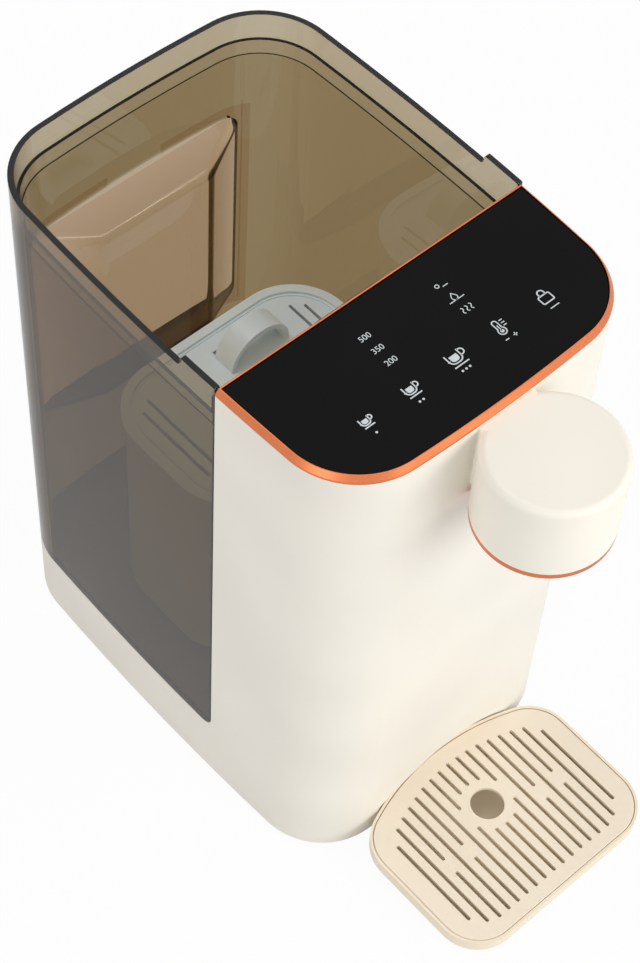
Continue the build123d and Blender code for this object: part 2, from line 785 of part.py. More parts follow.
# Flow meter with its turbine
meter_width = 34.0
meter_depth = 26.0
meter_height = 22.0
meter_bottom = 74.0
meter_edge = 1.5
meter_post_x = 10.0
turbine_chamber = 9.0
turbine_chamber_depth = 18.0
turbine_radius = 8.2
turbine_hub = 2.5
turbine_blade = 1.2
turbine_length = 12.0
turbine_count = 6
axle_radius = 1.2
axle_bite = 1.5

meter_top = meter_bottom + meter_height
meter_middle = meter_bottom + meter_height / 2
heater_place = [(heater_x, water_y)]
meter_place = [(heater_x, meter_middle)]
meter_back = water_y + meter_depth / 2
meter_post_places = [(heater_x - meter_post_x, meter_middle), (heater_x + meter_post_x, meter_middle)]
chamber_back = water_y + turbine_chamber_depth / 2
axle_length = turbine_chamber_depth + 2 * axle_bite

with BuildPart() as flow_meter_body:
    with BuildSketch(level(meter_bottom)):
        with Locations(*heater_place):
            Rectangle(meter_width, meter_depth)
    extrude(amount=meter_height)
    fillet(flow_meter_body.edges().filter_by(Axis.Z), meter_edge)
    add(column(level(meter_bottom), heater_place, stub_radius, -stub_length))
    add(column(level(meter_top), heater_place, stub_radius, stub_length))
    add(column(upright(meter_back), meter_post_places, post_radius, meter_back + frame_front))
    add(column(upright(chamber_back), meter_place, turbine_chamber, turbine_chamber_depth),
        mode=Mode.SUBTRACT)
    add(column(upright(chamber_back + axle_bite + seat_gap), meter_place, axle_radius + running_gap,
               axle_length + 2 * seat_gap), mode=Mode.SUBTRACT)
    add(column(level(meter_bottom - stub_length), heater_place, stub_bore, meter_height + 2 * stub_length),
        mode=Mode.SUBTRACT)
save(flow_meter_body.part, "flow_meter_body")

with BuildPart() as flow_turbine:
    add(column(upright(chamber_back + axle_bite), meter_place, axle_radius, axle_length))
    add(column(upright(water_y + turbine_length / 2), meter_place, turbine_hub, turbine_length))
    with BuildSketch(upright(water_y + turbine_length / 2)):
        with Locations(*meter_place):
            with PolarLocations(0, turbine_count):
                Rectangle(turbine_radius, turbine_blade, align=(Align.MIN, Align.CENTER))
    extrude(amount=turbine_length)
save(flow_turbine.part, "flow_turbine")

# Heater: tube with pads for the cut-outs, end caps, bracket and sensor
heater_radius = 18.0
heater_wall = 3.0
heater_length = 90.0
heater_gap = 2.0
cap_wall = 2.0
cap_floor = 4.0
cap_bite = 4.0
pad_size = 18.0
pad_face = 19.0
cutout_low = 138.0
cutout_high = 188.0
cutout_radius = 8.0
cutout_height = 6.0
clamp_wall = 1.6
clamp_height = 14.0
clamp_foot = 34.0
sensor_offset = 12.0
sensor_radius = 2.0
sensor_depth = 8.0
sensor_head = 4.0
sensor_head_height = 4.0

heater_bottom = meter_top + 2 * stub_length + heater_gap + cap_floor
heater_top = heater_bottom + heater_length
cap_radius = heater_radius + cap_wall
cutout_places = [(heater_x, cutout_low), (heater_x, cutout_high)]
sensor_place = [(heater_x - sensor_offset, water_y)]

with BuildPart() as heater_tube:
    add(column(level(heater_bottom), heater_place, heater_radius, heater_length))
    with BuildSketch(upright(water_y)):
        with Locations(*cutout_places):
            Rectangle(pad_size, pad_size)
    extrude(amount=pad_face)
    add(column(level(heater_bottom), heater_place, heater_radius - heater_wall, heater_length),
        mode=Mode.SUBTRACT)
save(heater_tube.part, "heater_tube")

with BuildPart() as heater_caps:
    add(column(level(heater_bottom - cap_floor), heater_place, cap_radius, cap_floor + cap_bite))
    add(column(level(heater_bottom - cap_floor), heater_place, stub_radius, -stub_length))
    add(column(level(heater_top + cap_floor), heater_place, cap_radius, -cap_floor - cap_bite))
    add(column(level(heater_top + cap_floor), heater_place, stub_radius, stub_length))
    add(column(level(heater_bottom), heater_place, heater_radius, heater_length), mode=Mode.SUBTRACT)
    add(column(level(heater_bottom - cap_floor - stub_length), heater_place, stub_bore,
               heater_length + 2 * cap_floor + 2 * stub_length), mode=Mode.SUBTRACT)
    add(column(level(heater_top), sensor_place, sensor_radius, cap_floor), mode=Mode.SUBTRACT)
save(heater_caps.part, "heater_caps")

with BuildPart() as heater_bracket:
    with BuildSketch(level(bracket_z - clamp_height / 2)):
        with Locations(*heater_place):
            Circle(heater_radius + clamp_wall)
        with Locations((heater_x, -frame_front)):
            Rectangle(pad_size, -frame_front - water_y, align=(Align.CENTER, Align.MAX))
            Rectangle(clamp_foot, bracket_thickness, align=(Align.CENTER, Align.MAX))
        with Locations(*heater_place):
            Circle(heater_radius, mode=Mode.SUBTRACT)
    extrude(amount=clamp_height)
    add(column(upright(-frame_front), bracket_screw_places, screw_radius, bracket_thickness),
        mode=Mode.SUBTRACT)
save(heater_bracket.part, "heater_bracket")

with BuildPart() as thermal_cutouts:
    add(column(upright(water_y - pad_face), cutout_places, cutout_radius, cutout_height))
    fillet(thermal_cutouts.edges().group_by(Axis.Y)[0], motor_edge)
    add(column(upright(water_y - pad_face - cutout_height), cutout_places, screw_radius, cap_wall))
save(thermal_cutouts.part, "thermal_cutouts")

with BuildPart() as outlet_sensor:
    add(column(level(heater_top + cap_floor), sensor_place, sensor_radius, -cap_floor - sensor_depth))
    add(column(level(heater_top + cap_floor), sensor_place, sensor_head, sensor_head_height))
save(outlet_sensor.part, "outlet_sensor")

# Socket in the deck that the tank valve plugs into
socket_bottom = 11.0
socket_floor = 3.0
socket_bore = 13.0
socket_stub_z = 19.0
pin_radius = 1.5
valve_tube_radius = 9.0
socket_seal_bottom = 28.0
socket_seal_height = 3.0
socket_screw_length = 4.5
stem_bottom = 22.6

socket_place = [(water_x, valve_y)]
socket_reach = socket_radius + stub_length

with BuildPart() as tank_socket:
    add(column(level(socket_bottom), socket_place, socket_radius, deck_top - socket_bottom))
    add(column(level(deck_bottom), socket_place, socket_flange, -socket_flange_height))
    add(column(upright(valve_y), [(water_x, socket_stub_z)], stub_radius, socket_reach))
    add(column(level(socket_bottom + socket_floor), socket_place, socket_bore,
               deck_top - socket_bottom - socket_floor), mode=Mode.SUBTRACT)
    add(column(upright(valve_y), [(water_x, socket_stub_z)], stub_bore, socket_reach), mode=Mode.SUBTRACT)
    add(column(level(socket_bottom + socket_floor), socket_place, pin_radius,
               stem_bottom - seat_gap - socket_bottom - socket_floor))
    add(column(level(deck_bottom), socket_screw_places, screw_radius, -socket_flange_height),
        mode=Mode.SUBTRACT)
save(tank_socket.part, "tank_socket")

with BuildPart() as socket_seal:
    add(column(level(socket_seal_bottom), socket_place, socket_bore, socket_seal_height,
               bore=valve_tube_radius + seat_gap))
save(socket_seal.part, "socket_seal")

with BuildPart() as socket_screws:
    add(screws(level(deck_bottom - socket_flange_height), socket_screw_places, socket_screw_length, way=-1))
save(socket_screws.part, "socket_screws")

# Hoses and the clips on their ends
clip_width = 5.0
clip_wall = 0.8
clip_inset = 1.5
clip_ear = 3.0

pump_stub_end = pump_bottom - stub_length
socket_hose_end = valve_y - socket_reach + hose_bite
pump_hose_end = water_x - pump_reach + hose_bite
meter_inlet = meter_bottom - stub_length + hose_bite
meter_outlet = meter_top + stub_length - hose_bite
heater_inlet = heater_bottom - cap_floor - stub_length + hose_bite
heater_outlet = heater_top + cap_floor + stub_length - hose_bite
separator_inlet = separator_bottom - stub_length + hose_bite

with BuildPart() as inlet_hose:
    add(hose(sideways(water_x), [(socket_hose_end, socket_stub_z), (water_y, socket_stub_z),
                                 (water_y, pump_stub_end + hose_bite)]))
save(inlet_hose.part, "inlet_hose")

with BuildPart() as pump_hose:
    add(hose(upright(water_y), [(pump_hose_end, pump_middle), (heater_x, pump_middle),
                                (heater_x, meter_inlet)]))
save(pump_hose.part, "pump_hose")

with BuildPart() as heater_hose:
    add(column(level(meter_outlet), heater_place, hose_radius, heater_inlet - meter_outlet, bore=stub_radius))
save(heater_hose.part, "heater_hose")

with BuildPart() as hot_hose:
    add(column(level(heater_outlet), heater_place, hose_radius, separator_inlet - heater_outlet,
               bore=stub_radius))
save(hot_hose.part, "hot_hose")

upward_clips = [(water_x, water_y, pump_stub_end + hose_bite - clip_inset - clip_width),
                (heater_x, water_y, meter_inlet - clip_inset - clip_width),
                (heater_x, water_y, meter_outlet + clip_inset),
                (heater_x, water_y, heater_inlet - clip_inset - clip_width),
                (heater_x, water_y, heater_outlet + clip_inset),
                (heater_x, water_y, separator_inlet - clip_inset - clip_width)]
with BuildPart() as hose_clips:
    for x, y, z in upward_clips:
        with BuildSketch(level(z)):
            with Locations((x, y)):
                Circle(hose_radius + clip_wall)
                Rectangle(clip_wall, hose_radius + clip_ear, align=(Align.CENTER, Align.MAX))
                Circle(hose_radius, mode=Mode.SUBTRACT)
        extrude(amount=clip_width)
    with BuildSketch(upright(socket_hose_end - clip_inset)):
        with Locations((water_x, socket_stub_z)):
            Circle(hose_radius + clip_wall)
            Rectangle(clip_wall, hose_radius + clip_ear, align=(Align.CENTER, Align.MIN))
            Circle(hose_radius, mode=Mode.SUBTRACT)
    extrude(amount=clip_width)
    with BuildSketch(sideways(pump_hose_end - clip_inset)):
        with Locations((water_y, pump_middle)):
            Circle(hose_radius + clip_wall)
            Rectangle(clip_wall, hose_radius + clip_ear, align=(Align.CENTER, Align.MIN))
            Circle(hose_radius, mode=Mode.SUBTRACT)
    extrude(amount=-clip_width)
save(hose_clips.part, "hose_clips")

# Cord gland in the back wall and reed switch behind the tank's float
gland_flange = 8.0
gland_flange_depth = 3.0
gland_tail = 8.0
gland_hole = 3.2
gland_set_back = 0.6
float_side_gap = 17.5
reed_width = 10.0
reed_height = 18.0
reed_depth = 4.0
reed_bottom = 44.0

float_x = body_width / 2 - float_side_gap

with BuildPart() as cord_gland:
    add(column(upright(back_reach - gland_set_back), [(gland_x, gland_z)], gland_radius,
               2 * shell_wall + gland_flange_depth + gland_tail))
    add(column(upright(back_reach - 2 * shell_wall), [(gland_x, gland_z)], gland_flange, gland_flange_depth))
    add(column(upright(back_reach), [(gland_x, gland_z)], gland_hole,
               3 * shell_wall + gland_flange_depth + gland_tail), mode=Mode.SUBTRACT)
save(cord_gland.part, "cord_gland")

with BuildPart() as reed_switch:
    with BuildSketch(upright(-shell_wall)):
        with Locations((float_x, reed_bottom)):
            Rectangle(reed_width, reed_height, align=(Align.CENTER, Align.MIN))
    extrude(amount=reed_depth)
    fillet(reed_switch.edges().filter_by(Axis.Y), shell_wall / 2)
save(reed_switch.part, "reed_switch")

# Water tank: transparent, open at the top, with ears beside the panel, a seat for a lid,
# a tab on its front wall and a pocket for the fingers in its back wall
tank_wall = 4.6
tank_floor = 2.5
tank_rim = 279.3
front_wall = 2.5
upper_wall = 2.5
seat_drop = 12.6
seat_height = 7.2
seat_inset = 4.0
ear_length = 19.2
ear_root = 2.0
ear_edge = 0.8
ear_rise = 4.7
front_wall_drop = 2.3
tab_half = 20.0
tab_drop = 17.3
tab_thickness = 2.0
tab_reach = 12.5
tab_corner = 4.0
grip_side_gap = 21.5
grip_side_depth = 8.0
grip_front_half = 29.0
grip_depth = 20.9
grip_drop = 51.3
grip_height = 124.0
grip_slope = 10.0
grip_shoulder = 8.0
grip_edge = 6.0
grip_wall = 2.5

ear_top = tank_rim + ear_rise
seat_top = tank_rim - seat_drop
front_wall_top = tank_rim - front_wall_drop
tab_top = tank_rim - tab_drop
grip_top = tank_rim - grip_drop
grip_bottom = grip_top - grip_height
tank_bottom = deck_top + seat_gap
tank_floor_top = tank_bottom + tank_floor
tank_front = seat_gap
tank_inner_front = tank_front + front_wall


def grip(inset):
    """Body of the finger pocket in the tank's back wall, drawn in by an inset."""
    half = body_width / 2 - grip_side_gap - inset
    front_half = grip_front_half - inset / 2
    front = back_reach - grip_depth + inset
    back = back_reach + overrun
    side_front = back - grip_side_depth
    low = grip_bottom + inset
    high = grip_top - inset
    with BuildPart() as pocket:
        with BuildSketch(level(low)) as plan:
            with BuildLine():
                Polyline((-half, back), (-half, side_front), (-front_half, front), (front_half, front),
                         (half, side_front), (half, back), close=True)
            make_face()
            fillet(plan.vertices().sort_by(Axis.Y)[:4], grip_shoulder - inset)
        extrude(amount=high - low)
        with BuildSketch(sideways(-half)):
            with BuildLine():
                Polyline((front, low + grip_slope), (back, low), (back, high), (front, high - grip_slope),
                         close=True)
            make_face()
        extrude(amount=2 * half, mode=Mode.INTERSECT)
        mouth = pocket.faces().sort_by(Axis.Y)[-1].edges()
        rims = [edge for edge in pocket.edges().filter_by(Axis.Z, reverse=True) if edge not in mouth]
        fillet(rims, grip_edge - inset)
    return pocket.part


with BuildPart() as grip_wall_body:
    with BuildSketch(level(grip_bottom)):
        add(footprint(0))
    extrude(amount=grip_top - grip_bottom)
    add(grip(0), mode=Mode.INTERSECT)

with BuildPart() as tank_shell:
    with BuildSketch(level(tank_bottom)):
        add(tank_plan(0, tank_front))
    extrude(amount=tank_rim - tank_bottom)
    front_edge = tank_shell.edges().filter_by(Axis.X).group_by(Axis.Z)[0].sort_by(Axis.Y)[0]
    fillet(front_edge, step_radius)
    with BuildSketch(level(tank_rim)):
        add(tank_plan(0, tank_front))
        with Locations((0, ear_length)):
            Rectangle(body_width, back_reach, align=(Align.CENTER, Align.MIN), mode=Mode.SUBTRACT)
    extrude(amount=ear_rise)
    fillet(tank_shell.edges().filter_by(Axis.X).group_by(Axis.Z)[-2].sort_by(Axis.Y)[0], ear_root)
    fillet(tank_shell.edges().filter_by(Axis.X).group_by(Axis.Z)[-1], ear_edge)
    with BuildSketch(level(tank_floor_top)):
        add(tank_plan(tank_wall, tank_inner_front))
    extrude(amount=seat_top - seat_height - tank_floor_top, mode=Mode.SUBTRACT)
    with BuildSketch(level(seat_top - seat_height)):
        add(tank_plan(seat_inset, tank_inner_front))
    extrude(amount=seat_height, mode=Mode.SUBTRACT)
    with BuildSketch(level(seat_top)):
        add(tank_plan(upper_wall, tank_inner_front))
    extrude(amount=ear_top - seat_top, mode=Mode.SUBTRACT)
    with BuildSketch(level(front_wall_top)):
        add(tank_plan(upper_wall, 0))
    extrude(amount=ear_top - front_wall_top, mode=Mode.SUBTRACT)
    with BuildSketch(level(tab_top)) as tab_outline:
        with Locations((0, tank_front)):
            Rectangle(2 * tab_half, tab_reach - tank_front, align=(Align.CENTER, Align.MIN))
        fillet(tab_outline.vertices().group_by(Axis.Y)[-1], tab_corner)
    extrude(amount=-tab_thickness)
    add(grip_wall_body.part)
    add(grip(grip_wall), mode=Mode.SUBTRACT)
    add(column(level(tank_bottom), socket_place, valve_tube_radius, tank_floor), mode=Mode.SUBTRACT)
save(tank_shell.part, "tank_shell")

# Tank valve: body with a seat and a guide, nut, plunger, seal and spring
valve_flange = 14.0
valve_flange_height = 2.0
valve_bore = 7.0
valve_bottom = 23.0
valve_seat = 3.0
valve_port = 4.0
nut_radius = 12.0
nut_height = 3.0
stem_radius = 1.6
guide_hub = 3.4
guide_arm = 2.0
guide_count = 3
plunger_radius = 5.8
plunger_height = 2.0
valve_seal_height = 1.0
valve_seal_radius = 5.6
stem_above = 2.0
valve_coil_radius = 3.4
valve_wire = 0.4
valve_turns = 6

valve_flange_top = tank_floor_top + valve_flange_height
valve_seat_top = valve_bottom + valve_seat
plunger_bottom = valve_seat_top + seat_gap + valve_seal_height
plunger_top = plunger_bottom + plunger_height

with BuildPart() as tank_valve_body:
    add(column(level(valve_bottom), socket_place, valve_tube_radius, tank_floor_top - valve_bottom))
    add(column(level(tank_floor_top), socket_place, valve_flange, valve_flange_height))
    add(column(level(valve_bottom), socket_place, valve_port, valve_seat), mode=Mode.SUBTRACT)
    add(column(level(valve_seat_top), socket_place, valve_bore, valve_flange_top - valve_seat_top),
        mode=Mode.SUBTRACT)
    with BuildSketch(level(tank_floor_top)):
        with Locations(*socket_place):
            Circle(guide_hub)
            with PolarLocations(0, guide_count):
                Rectangle(valve_bore + overrun, guide_arm, align=(Align.MIN, Align.CENTER))
            Circle(stem_radius + running_gap, mode=Mode.SUBTRACT)
    extrude(amount=valve_flange_height)
save(tank_valve_body.part, "tank_valve_body")

with BuildPart() as valve_nut:
    with BuildSketch(level(tank_bottom)):
        with Locations(*socket_place):
            RegularPolygon(nut_radius, 6)
            Circle(valve_tube_radius, mode=Mode.SUBTRACT)
    extrude(amount=-nut_height)
save(valve_nut.part, "valve_nut")

with BuildPart() as valve_plunger:
    add(column(level(stem_bottom), socket_place, stem_radius, valve_flange_top + stem_above - stem_bottom))
    add(column(level(plunger_bottom), socket_place, plunger_radius, plunger_height))
save(valve_plunger.part, "valve_plunger")

with BuildPart() as valve_seal:
    add(column(level(plunger_bottom), socket_place, valve_seal_radius, -valve_seal_height, bore=stem_radius))
save(valve_seal.part, "valve_seal")

valve_coil = coil(valve_coil_radius, valve_wire, tank_floor_top - plunger_top - 2 * seat_gap, valve_turns)
with BuildPart() as valve_spring:
    with Locations((water_x, split_y + valve_y, plunger_top + seat_gap)):
        add(valve_coil)
save(valve_spring.part, "valve_spring")

# Level float in its cage
float_y = 13.0
cage_radius = 8.5
cage_bore = 7.5
cage_top = 76.0
cage_cap = 2.0
cage_cap_bore = 5.0
cage_window = 4.0
float_radius = 7.0
float_height = 12.0

float_place = [(float_x, float_y)]
cage_height = cage_top - tank_floor_top

with BuildPart() as float_cage:
    add(column(level(tank_floor_top), float_place, cage_radius, cage_height))
    add(column(level(tank_floor_top), float_place, cage_bore, cage_height - cage_cap), mode=Mode.SUBTRACT)
    add(column(level(cage_top), float_place, cage_cap_bore, -cage_cap), mode=Mode.SUBTRACT)
    with BuildSketch(upright(float_y - cage_radius)):
        with Locations((float_x, tank_floor_top + cage_height / 2)):
            SlotOverall(cage_height - 2 * cage_window, cage_window, rotation=90)
    extrude(amount=-2 * cage_radius, mode=Mode.SUBTRACT)
save(float_cage.part, "float_cage")

with BuildPart() as level_float:
    add(column(level(tank_floor_top + seat_gap), float_place, float_radius, float_height))
    fillet(level_float.edges().filter_by(GeomType.CIRCLE), motor_edge)
save(level_float.part, "level_float")

# Filter unit: case, media, outlet seal, and the cover with its finger loop
filter_side_gap = 21.5
filter_front = 14.0
filter_back = 98.0
filter_corner = 28.0
cover_top = 162.0
cover_plate = 2.6
cover_rim = 4.0
cover_rim_height = 1.4
groove_inset = 5.0
groove_width = 1.0
groove_depth = 0.6
skirt_wall = 1.5
skirt_depth = 3.0
case_inset = 2.0
case_wall = 2.0
case_foot_height = 2.4
case_foot_radius = 5.0
case_foot_inset = 16.0
case_foot_front = 30.0
case_foot_back = 84.0
outlet_radius = 8.0
filter_seal_bore = 9.0
filter_seal_radius = 12.0
media_drop = 8.0
media_pocket = 8.0
loop_x = 11.0
loop_radius = 16.0
loop_wall = 2.2
loop_front = 72.0
loop_back = 83.0
notch_x = -0.3
notch_y = 84.9
notch_width = 7.4
notch_depth = 2.2
slot_width = 1.4
# how far out, and the front and back end along the cover
cover_slot_shares = [(0.679, 0.190, 0.838), (0.775, 0.286, 0.792)]

filter_width = body_width - 2 * filter_side_gap
filter_y = (filter_front + filter_back) / 2
filter_depth = filter_back - filter_front
cover_bottom = cover_top - cover_rim_height - cover_plate
case_foot_bottom = tank_floor_top + seat_gap
case_bottom = case_foot_bottom + case_foot_height
case_top = cover_bottom - seat_gap
case_foot_x = filter_width / 2 - case_foot_inset
case_foot_places = [(x, y) for x in (-case_foot_x, case_foot_x) for y in (case_foot_front, case_foot_back)]


def filter_plan(inset):
    """Rounded plan outline of the filter unit, drawn in by an inset."""
    with BuildSketch(Plane.XY) as outline:
        with Locations((0, filter_y)):
            RectangleRounded(filter_width - 2 * inset, filter_depth - 2 * inset, filter_corner - inset)
    return outline.sketch


with BuildPart() as filter_case:
    with BuildSketch(level(case_bottom)):
        add(filter_plan(case_inset))
    extrude(amount=case_top - case_bottom)
    add(column(level(case_bottom), case_foot_places, case_foot_radius, -case_foot_height))
    with BuildSketch(level(case_bottom + case_wall)):
        add(filter_plan(case_inset + case_wall))
    extrude(amount=case_top - case_bottom - case_wall, mode=Mode.SUBTRACT)
    add(column(level(case_bottom), socket_place, outlet_radius, case_wall), mode=Mode.SUBTRACT)
save(filter_case.part, "filter_case")

with BuildPart() as filter_media:
    with BuildSketch(level(case_bottom + case_wall)):
        add(filter_plan(case_inset + case_wall))
    extrude(amount=case_top - media_drop - case_bottom - case_wall)
    add(column(level(case_bottom + case_wall), socket_place, outlet_radius, media_pocket), mode=Mode.SUBTRACT)
save(filter_media.part, "filter_media")

with BuildPart() as filter_seal:
    add(column(level(valve_flange_top + seat_gap), socket_place, filter_seal_radius,
               case_bottom - valve_flange_top - seat_gap, bore=filter_seal_bore))
save(filter_seal.part, "filter_seal")

with BuildPart() as filter_cover:
    with BuildSketch(level(cover_bottom)):
        add(filter_plan(0))
    extrude(amount=cover_top - cover_bottom)
    with BuildSketch(level(cover_top - cover_rim_height)):
        add(filter_plan(cover_rim))
    extrude(amount=cover_rim_height, mode=Mode.SUBTRACT)
    with BuildSketch(level(cover_top - cover_rim_height)):
        add(filter_plan(groove_inset))
        add(filter_plan(groove_inset + groove_width), mode=Mode.SUBTRACT)
    extrude(amount=-groove_depth, mode=Mode.SUBTRACT)
    with BuildSketch(level(cover_bottom)):
        add(filter_plan(case_inset + case_wall + seat_gap))
        add(filter_plan(case_inset + case_wall + seat_gap + skirt_wall), mode=Mode.SUBTRACT)
    extrude(amount=-skirt_depth)
    with BuildSketch(level(cover_bottom)):
        for out, front, back in cover_slot_shares:
            slot_x = out * filter_width / 2
            slot_y = filter_front + (front + back) / 2 * filter_depth
            with Locations((-slot_x, slot_y), (slot_x, slot_y)):
                SlotOverall((back - front) * filter_depth, slot_width, rotation=90)
        with Locations((notch_x, notch_y)):
            Rectangle(notch_width, notch_depth)
    extrude(amount=cover_plate, mode=Mode.SUBTRACT)
    with BuildSketch(upright(loop_back)) as arch:
        with Locations((loop_x, cover_bottom + cover_plate)):
            Circle(loop_radius)
            Circle(loop_radius - loop_wall, mode=Mode.SUBTRACT)
            Rectangle(2 * loop_radius, loop_radius, align=(Align.CENTER, Align.MAX), mode=Mode.SUBTRACT)
    extrude(amount=loop_back - loop_front)
save(filter_cover.part, "filter_cover")

# Drip tray on its inset foot, and the slotted grille that lies in it
tray_foot_inset = 5.0
tray_foot_height = 5.5
tray_edge = 2.5
tray_wall = 3.0
tray_floor = 2.0
tray_lip = 1.2
grille_thickness = 1.7
grille_edge = 0.4
drain_share = 0.589
drain_radius = 7.7
slot_pitch = 5.57
grille_slot = 1.8
# front and back end of each run of slot, from the middle row outwards, along the tray
grille_run_shares = [[(0.091, 0.450), (0.728, 0.896)], [(0.090, 0.461), (0.715, 0.894)],
                     [(0.089, 0.527), (0.653, 0.888)], [(0.091, 0.879)],
                     [(0.089, 0.415), (0.501, 0.861)], [(0.089, 0.842)],
                     [(0.089, 0.417), (0.501, 0.820)], [(0.112, 0.791)], [(0.179, 0.716)]]

tray_depth = tray_reach - tray_back_y
drain_y = drain_share * tray_depth - tray_reach
grille_bottom = tray_top - grille_thickness
tray_ledge_top = grille_bottom - seat_gap

with BuildPart() as tray_body:
    with BuildSketch(level(tray_foot_height)):
        add(tray_plan(0))
    extrude(amount=tray_top - tray_foot_height)
    fillet(tray_body.faces().sort_by(Axis.Z)[0].edges(), tray_edge)
    with BuildSketch(level(0)):
        add(tray_plan(tray_foot_inset))
    extrude(amount=tray_foot_height)
    with BuildSketch(level(tray_floor)):
        add(tray_plan(tray_foot_inset + tray_wall))
    extrude(amount=tray_ledge_top - tray_floor, mode=Mode.SUBTRACT)
    with BuildSketch(level(tray_foot_height + tray_wall)):
        add(tray_plan(tray_wall))
    extrude(amount=tray_ledge_top - tray_foot_height - tray_wall, mode=Mode.SUBTRACT)
    with BuildSketch(level(tray_ledge_top)):
        add(tray_plan(tray_lip))
    extrude(amount=tray_top - tray_ledge_top, mode=Mode.SUBTRACT)
save(tray_body.part, "tray_body")

with BuildPart() as tray_grille:
    with BuildSketch(level(grille_bottom)):
        add(tray_plan(tray_lip + seat_gap))
    extrude(amount=grille_thickness)
    chamfer(tray_grille.faces().sort_by(Axis.Z)[-1].edges(), grille_edge)
    with BuildSketch(level(grille_bottom)):
        with Locations((0, drain_y)):
            Circle(drain_radius)
        for row, runs in enumerate(grille_run_shares):
            for side in {-row, row}:
                for front, back in runs:
                    with Locations((side * slot_pitch, (front + back) / 2 * tray_depth - tray_reach)):
                        SlotOverall((back - front) * tray_depth, grille_slot, rotation=90)
    extrude(amount=grille_thickness, mode=Mode.SUBTRACT)
save(tray_grille.part, "tray_grille")
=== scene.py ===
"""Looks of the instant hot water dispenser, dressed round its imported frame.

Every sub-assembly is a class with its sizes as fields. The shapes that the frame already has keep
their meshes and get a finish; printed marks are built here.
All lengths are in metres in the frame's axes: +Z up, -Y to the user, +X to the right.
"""

import json
import logging
import math
from dataclasses import dataclass, field
from enum import Enum

import bmesh
import bpy
from mathutils import Matrix, Vector

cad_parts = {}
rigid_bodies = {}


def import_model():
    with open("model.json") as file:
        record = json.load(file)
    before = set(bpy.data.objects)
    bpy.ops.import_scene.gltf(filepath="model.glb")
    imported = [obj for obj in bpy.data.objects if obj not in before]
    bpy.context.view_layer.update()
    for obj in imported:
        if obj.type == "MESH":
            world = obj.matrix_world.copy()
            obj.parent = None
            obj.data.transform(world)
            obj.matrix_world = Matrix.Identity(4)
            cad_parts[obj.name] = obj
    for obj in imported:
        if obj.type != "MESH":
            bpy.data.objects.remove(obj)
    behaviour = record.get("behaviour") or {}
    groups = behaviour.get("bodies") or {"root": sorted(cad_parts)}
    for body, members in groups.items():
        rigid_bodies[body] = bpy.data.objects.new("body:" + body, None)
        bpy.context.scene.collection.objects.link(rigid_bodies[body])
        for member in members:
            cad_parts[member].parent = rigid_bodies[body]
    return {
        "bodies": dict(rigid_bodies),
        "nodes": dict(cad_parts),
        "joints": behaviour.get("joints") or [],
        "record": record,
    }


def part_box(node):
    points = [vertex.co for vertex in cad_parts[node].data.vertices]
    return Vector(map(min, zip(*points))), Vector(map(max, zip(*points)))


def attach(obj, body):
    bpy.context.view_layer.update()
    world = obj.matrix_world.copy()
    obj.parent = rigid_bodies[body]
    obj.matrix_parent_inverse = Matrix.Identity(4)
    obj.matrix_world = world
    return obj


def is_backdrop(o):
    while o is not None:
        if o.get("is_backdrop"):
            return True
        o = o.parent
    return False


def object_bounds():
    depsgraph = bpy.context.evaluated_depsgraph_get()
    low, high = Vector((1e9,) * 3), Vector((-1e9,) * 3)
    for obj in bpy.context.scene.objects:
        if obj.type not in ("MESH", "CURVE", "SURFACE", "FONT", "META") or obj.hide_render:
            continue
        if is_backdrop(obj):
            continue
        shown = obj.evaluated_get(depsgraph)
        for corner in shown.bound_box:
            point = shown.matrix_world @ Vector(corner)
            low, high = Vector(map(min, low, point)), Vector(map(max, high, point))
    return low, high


log = logging.getLogger("dispenser")

MM = 0.001
SPLIT_Y = 1.95 * MM
PATTERN_DARK = 0.3
PATTERN_BRIGHT = 0.7
MERGE_REACH = 0.0005 * MM

Colour = tuple[float, float, float]
Point = tuple[float, float]

UNCHANGED: Colour = (1.0, 1.0, 1.0)


def shade(red: int, green: int, blue: int) -> Colour:
    """Turn a display colour of 0 to 255 into the linear values that shaders take.

    Args:
        red: red of the colour as it is seen.
        green: green of the colour as it is seen.
        blue: blue of the colour as it is seen.

    Returns:
        The linear red, green and blue.
    """
    def straight(value: int) -> float:
        """Undo the display curve for one channel."""
        share = value / 255
        return share / 12.92 if share <= 0.04045 else ((share + 0.055) / 1.055) ** 2.4

    return straight(red), straight(green), straight(blue)


